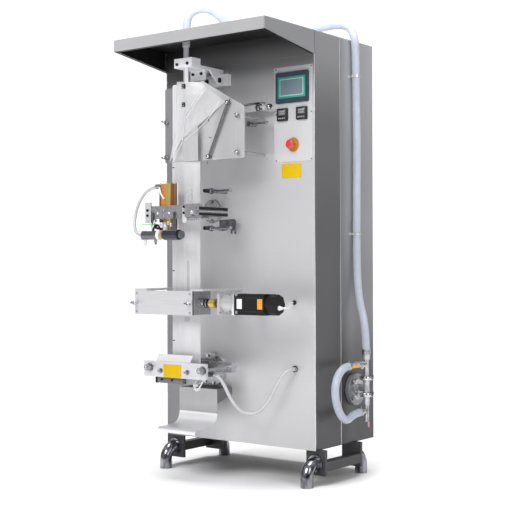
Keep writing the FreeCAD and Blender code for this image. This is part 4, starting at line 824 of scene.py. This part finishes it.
for z0, z1 in ((1163.5, 1176), (1140, 1151)):
    seal.box((49.1, -322, z0), (49.7, -130, z1), black_screw, 0)
seal.turned((51.8, -334, 1157), BACK, [(0, 0), (3, 0), (3.2, 1), (3.2, 200), (2, 202), (0, 202)], chrome, 20)
for x, y, z, wide, high, look in ((-216, -318, 1118, 9, 16, black_plastic), (-204, -320, 1128, 7, 10, black_plastic),
                                  (-178, -318, 1116, 6, 18, white_plastic), (-164, -320, 1124, 5, 14, black_plastic),
                                  (-150, -318, 1114, 7, 16, white_plastic), (-132, -318, 1118, 6, 14, white_plastic),
                                  (-116, -319, 1112, 6, 18, white_plastic), (-102, -317, 1106, 7, 12, screw_steel)):
    seal.box((x, y, z - high), (x + wide, y + 9, z), look, 1.2)
for x, z in ((-250, 1040), (-190, 1044), (-104, 1042)):
    seal.turned((x, CYLINDER_Y, z), DOWN, [(7, 0), (7, 14), (5, 15), (5, 24)],
                screw_steel if x > -200 else white_plastic, 22)
seal.wire([(-280, -330, 1106), (-230, -331, 1107), (-180, -330, 1107.5)], 1.3, green_wire)
seal.wire([(-150, -331, 1109), (-128, -331, 1110), (-112, -330, 1109)], 1.3, green_wire)
for z in (1079, 1042):
    seal.wire([(-290, -338, z), (-262, -339, z - 0.5), (-232, -338, z + 1)], 0.9, pale_wire)
    seal.wire([(-156, -340, z), (-110, -341, z + 0.5), (-62, -338, z)], 0.9, pale_wire)
seal.done("vertical_seal_carriage")
mount = Piece("vertical_mount_bolts")
MOUNT_X, MOUNT_Z, RIM_OUTER, RIM_INNER = -133, 1171, 51.9, 50.5
mount.grid([circle(at(MOUNT_X, y, MOUNT_Z), Vector(RIGHT), Vector(UP), radius, 64)
            for radius, y in ((RIM_OUTER, -12), (RIM_OUTER, -12.3), (RIM_INNER, -12.3), (RIM_INNER, -12),
                              (RIM_OUTER, -12))], black_screw, True)
bmesh.ops.remove_doubles(mount.mesh, verts=mount.mesh.verts, dist=1e-6)
for z in (1213, 1129):
    mount.turned((MOUNT_X, -12.0, z), FRONT, [(9.4, 0), (9.4, 0.4)], black_screw, 28)
    hex_bolt(mount, (MOUNT_X, -12.3, z), FRONT, 6.5)
mount.done()

# Pull unit: cover screws, shaft ends, coupling, tyres, and the screws and foils of the gearbox and motor.
DRIVE_Y, PINCH_Y, ROLLERS_Z = -225, -175, 769
pull = Piece("pull_unit_details")
for x in (-349, -44):
    for z in (808, 727):
        pan_head(pull, (x, -272.1, z), FRONT, 5.2)
for x in (-352, -44):
    pull.turned((x, -272, 766), FRONT,
                [(5, 0), (5, 9), (9, 10), (9.5, 12), (9.5, 19), (8, 21), (5, 22), (5, 30), (7, 31), (7, 34), (0, 36)],
                chrome, 24)
pull.box((-30.8, -268, 719), (-30.2, -151, 819), bar_steel, 0)
pull.box((-31, -271.8, 718), (-30.1, -266, 820.6), black_paint, 0.2)
for y in (DRIVE_Y, PINCH_Y):
    pull.turned((-30.2, y, ROLLERS_Z), RIGHT, [(9, 0), (13, 0.4), (13, 4), (9, 4.4)], dark_machined, 30)
for x, z in ((119, 807), (119, 733), (172, 808), (172, 739)):
    socket_screw(pull, (x, -270.3, z), FRONT, 4.6, screw_steel)
pull.box((179, -270.8, 723.4), (190.6, -179.4, 814.6), bright_edge, 2)
for z in (809, 737):
    socket_screw(pull, (205, -268.2, z), FRONT, 6.5, screw_steel)
pull.box((204, -268.7, 751), (231, -268.1, 792), white_plastic, 0.2)
pull.box((310, -268.7, 751), (335, -268.1, 793), orange_foil, 0.2)
for z in (741, 797):
    pull.box((195, -268.9, z - 1), (340, -268.0, z + 1), black_plastic, 0.3)
pull.turned((387.5, -225, 756), RIGHT, [(10, 0), (10, 5), (8, 7), (6.4, 16)], white_plastic, 24)
pull.turned((308, -0.4, 771), FRONT, [(9.6, 0), (9, 4), (7, 9), (5.4, 15)], rubber, 28)
pull.turned((311, -0.4, 489), FRONT, [(14.4, 0), (14, 4), (11.6, 8), (9, 15)], chrome, 28)
pull.done()
coupling = Piece("coupling_rings")
for x, width, radius, look in ((-31, 13, 20.6, screw_steel), (-15, 18, 20.6, chrome), (3.5, 10.5, 19.1, rubber),
                               (17, 11, 19.1, black_paint), (32, 29, 20.6, brass)):
    coupling.turned((x, DRIVE_Y, ROLLERS_Z), RIGHT,
                    [(radius - 1, 0), (radius, 1), (radius, width - 1), (radius - 1, width)], look, 40)
coupling.turned((61.1, DRIVE_Y, ROLLERS_Z), RIGHT, [(9, 0), (20, 0), (20, 0.8), (9, 0.8)], brass, 40)
# Black disc in the middle of the brass face: painted shade in the bore.
coupling.turned((61.9, DRIVE_Y, ROLLERS_Z), RIGHT, [(9.2, 0), (9.2, 0.4), (0, 0.4)], black_plastic, 28)
coupling.done("drive_roller")
for name, y in (("drive", DRIVE_Y), ("pinch", PINCH_Y)):
    tyres = Piece(name + "_roller_tyres")
    for x in (-204, -76):
        tyres.turned((x, y, ROLLERS_Z), RIGHT, [(17, 0), (18.5, 1.2), (18.6, 15), (18.5, 28.8), (17, 30)], rubber, 48)
    tyres.done(name + "_roller")

# Cross sealer: nuts, bare yellow foil, dark bar under the plate, flange bolts and the leads of the heater.
jaws = Piece("front_jaw_details")
for x in (-217, -66):
    hex_bolt(jaws, (x, -265.1, 474), FRONT, 9, lever_chrome)
    jaws.turned((x, -275, 474), FRONT, [(5.4, 0), (5.4, 8), (4.2, 10), (0, 10)], screw_steel, 24)
jaws.box((-201, -265.9, 447), (-100, -265.1, 503), yellow_foil, 0.2)
jaws.box((-261, -249.6, 419), (-104, -227, 452.6), dark_machined, 1.2)
jaws.box((-262, -249.9, 417.5), (-249, -226.5, 446), black_paint, 1)
for x in (-225, -165):
    socket_screw(jaws, (x, -249.7, 434), FRONT, 4.5)
jaws.done("front_jaw_carriage")
nuts = Piece("guide_rod_nuts")
for x in (-279, 19):
    acorn_nut(nuts, (x, -265.2, 486), FRONT, 15, lever_chrome)
nuts.done("front_jaw_carriage")
cross = Piece("cross_seal_details")
repeated("cross_flange_bolts", bolt_ring, (-140, -14, 464), TO_FRONT @ Matrix.Rotation(math.radians(15), 4, "Z"),
         "machine", Bolts=8, Circle=0.062, Head=0.007, Look=chrome)
for x in (-170, -110):
    socket_screw(cross, (x, -92.1, 489), FRONT, 8)
cross.turned((-5, -174, 460), RIGHT, [(8, 0), (10, 1), (10, 10), (8, 11), (8, 14)], screw_steel, 6)
for lead in ([(-40, -184, 452), (-30, -206, 432), (-44, -214, 404), (-62, -210, 392), (-74, -206, 402),
              (-60, -200, 420), (-38, -196, 424)],
             [(-70, -186, 452), (-66, -206, 430), (-72, -212, 410), (-60, -214, 396), (-42, -206, 398)]):
    cross.wire(lead, 3.4, white_sleeving)
cross.box((-78, -214, 408), (-54, -204, 422), white_plastic, 2)
cross.done()

# Pump: plate bolts, raised casting, hose clamps, wing nuts and lever sleeve.
bands = Piece("hose_bands")
for x, y, z in ((434.2, 296, 1759), (432.6, 298, 1066)):
    bands.turned((x, y, z - 7), UP, [(17.4, 0), (18.3, 0.6), (18.3, 13.4), (17.4, 14)], screw_steel, 40)
bands.done()
pump = Piece("pump_details")
PIPE_X, PIPE_Y, FLANGE_Z = 479.5, 298, 384
pump.turned((412.7, PIPE_Y, FLANGE_Z), RIGHT, [(69.2, 0), (70.6, 0), (70.6, 2.8), (69.2, 2.8)], rubber, 72)
# A thin sleeve over the flange's wall in the rim's painted shade.
pump.turned((413.2, PIPE_Y, FLANGE_Z), RIGHT, [(69.3, 0), (69.3, 20), (68.6, 20.6)], dark_flange, 72)
for y in (262, 334):
    for z in (349, 419):
        pump.turned((433.6, y, z), RIGHT, [(11, 0), (11, 2), (9.6, 2.6)], dark_machined, 32)
        hex_bolt(pump, (435.8, y, z), RIGHT, 7.6)
for low, width in ((536, 26), (551, 4)):
    pump.turned((PIPE_X, PIPE_Y, low), UP, [(17.4, 0), (18.6, 0.6), (18.6, width - 0.6), (17.4, width)],
                screw_steel, 40)
for y, z in ((158, 497), (252, 292)):
    pump.turned((PIPE_X, y, z), FRONT, [(17.6, 0), (18.8, 0.8), (18.8, 9), (17.6, 10)], screw_steel, 40)
    pump.box((PIPE_X - 5, y - 8, z + 17), (PIPE_X + 5, y - 2, z + 25), screw_steel, 1)
for z in (363, 436):
    pump.turned((PIPE_X, PIPE_Y, z - 7.5), UP, [(28.2, 0), (29.6, 3), (29.6, 12), (28.2, 15)], chrome, 44)
    pump.turned((PIPE_X + 30, PIPE_Y, z), RIGHT, [(4.6, -6), (4.6, 2), (6, 3), (6, 7)], chrome, 20)
pump.turned((PIPE_X + 11, PIPE_Y, 245), DOWN, [(4.2, 0), (4.2, 10), (3.4, 22), (0, 22.8)], pink_plastic, 24)
pump.done()
sleeve = Piece("valve_lever_sleeve")
sleeve.box((501.7, 147, 490.6), (508.4, 205, 503.4), orange_plastic, 2.4)
sleeve.turned((502.0, 240, 497), RIGHT, [(9, 0), (9, 5), (6.5, 6.4)], chrome, 6)
sleeve.done("valve_lever")

# Pale matt floor, a plain painted surface with hardly any variation, under soft light.
bpy.ops.mesh.primitive_plane_add(size=80, location=(0, 0, 0))
floor = bpy.context.object
floor.name = "floor"
floor.data.materials.append(material("pale floor", "#f6f6f7", 0.8, 0.0, (900, 900, 900), 0.01, 0.03))


def softbox(name, place, target, width, height, power):
    """A rectangular lamp in metres and watts, turned towards its target."""
    light = bpy.data.lights.new(name, "AREA")
    light.shape = "RECTANGLE"
    light.size, light.size_y = width, height
    light.energy = power
    item = bpy.data.objects.new(name, light)
    item.location = place
    item.rotation_euler = (Vector(target) - Vector(place)).to_track_quat("-Z", "Y").to_euler()
    bpy.context.collection.objects.link(item)


softbox("key", (0.3, -5.8, 5.0), (0, 0, 0.9), 3.6, 3.0, 260)
softbox("fill", (4.6, -1.8, 2.6), (0.4, 0.1, 1.0), 2.0, 2.4, 60)
lamp = bpy.data.lights.new("overhead", "SUN")
lamp.energy = 2.5
lamp.angle = math.radians(28)
overhead = bpy.data.objects.new("overhead", lamp)
overhead.location = (0, 0, 4)
bpy.context.collection.objects.link(overhead)

# Pale room: a white wall behind the machine, dimmer walls elsewhere and a brighter ceiling.
WHITE_WALL, DIM_WALL, CEILING = 1.1, 0.28, 0.4
TO_WHITE_WALL = (-0.6027, 0.7979, 0)
SOFT = {"interpolation_type": "SMOOTHSTEP"}
world = bpy.data.worlds.new("studio")
bpy.context.scene.world = world
world.use_nodes = True
room = world.node_tree
back = room.nodes["Background"]
back.inputs["Color"].default_value = (1, 1, 1, 1)
toward = node(room, "ShaderNodeTexCoord").outputs["Generated"]
facing = node(room, "ShaderNodeVectorMath", {"operation": "DOT_PRODUCT"}, at0=toward, at1=TO_WHITE_WALL)
upward = node(room, "ShaderNodeSeparateXYZ", Vector=toward)
wall = node(room, "ShaderNodeMapRange", SOFT, Value=facing.outputs["Value"], From_Min=0.86, From_Max=0.945,
            To_Min=DIM_WALL, To_Max=WHITE_WALL)
ceiling = node(room, "ShaderNodeMapRange", SOFT, Value=upward.outputs["Z"], From_Min=0.1, From_Max=0.5,
               To_Min=DIM_WALL, To_Max=CEILING)
both = node(room, "ShaderNodeMath", {"operation": "MAXIMUM"}, at0=wall, at1=ceiling)
room.links.new(both.outputs["Value"], back.inputs["Strength"])
bpy.context.scene.view_settings.view_transform = "Standard"

# Camera at the photograph's viewing angle, almost level.
camera = bpy.data.cameras.new("camera")
camera.lens = 80.2
camera.sensor_width = 36
camera.clip_end = 100
eye = bpy.data.objects.new("camera", camera)
yaw, pitch, roll = math.radians(37.0696), math.radians(0.5017), math.radians(-0.184)
ahead = Vector((-math.sin(yaw) * math.cos(pitch), math.cos(yaw) * math.cos(pitch), math.sin(pitch)))
across = Vector((math.cos(yaw), math.sin(yaw), 0))
turn = Matrix((across, across.cross(ahead), -ahead)).transposed() @ Matrix.Rotation(roll, 3, "Z")
eye.matrix_world = Matrix.Translation((3.01153, -3.98627, 0.94244)) @ turn.to_4x4()
bpy.context.collection.objects.link(eye)
bpy.context.scene.camera = eye
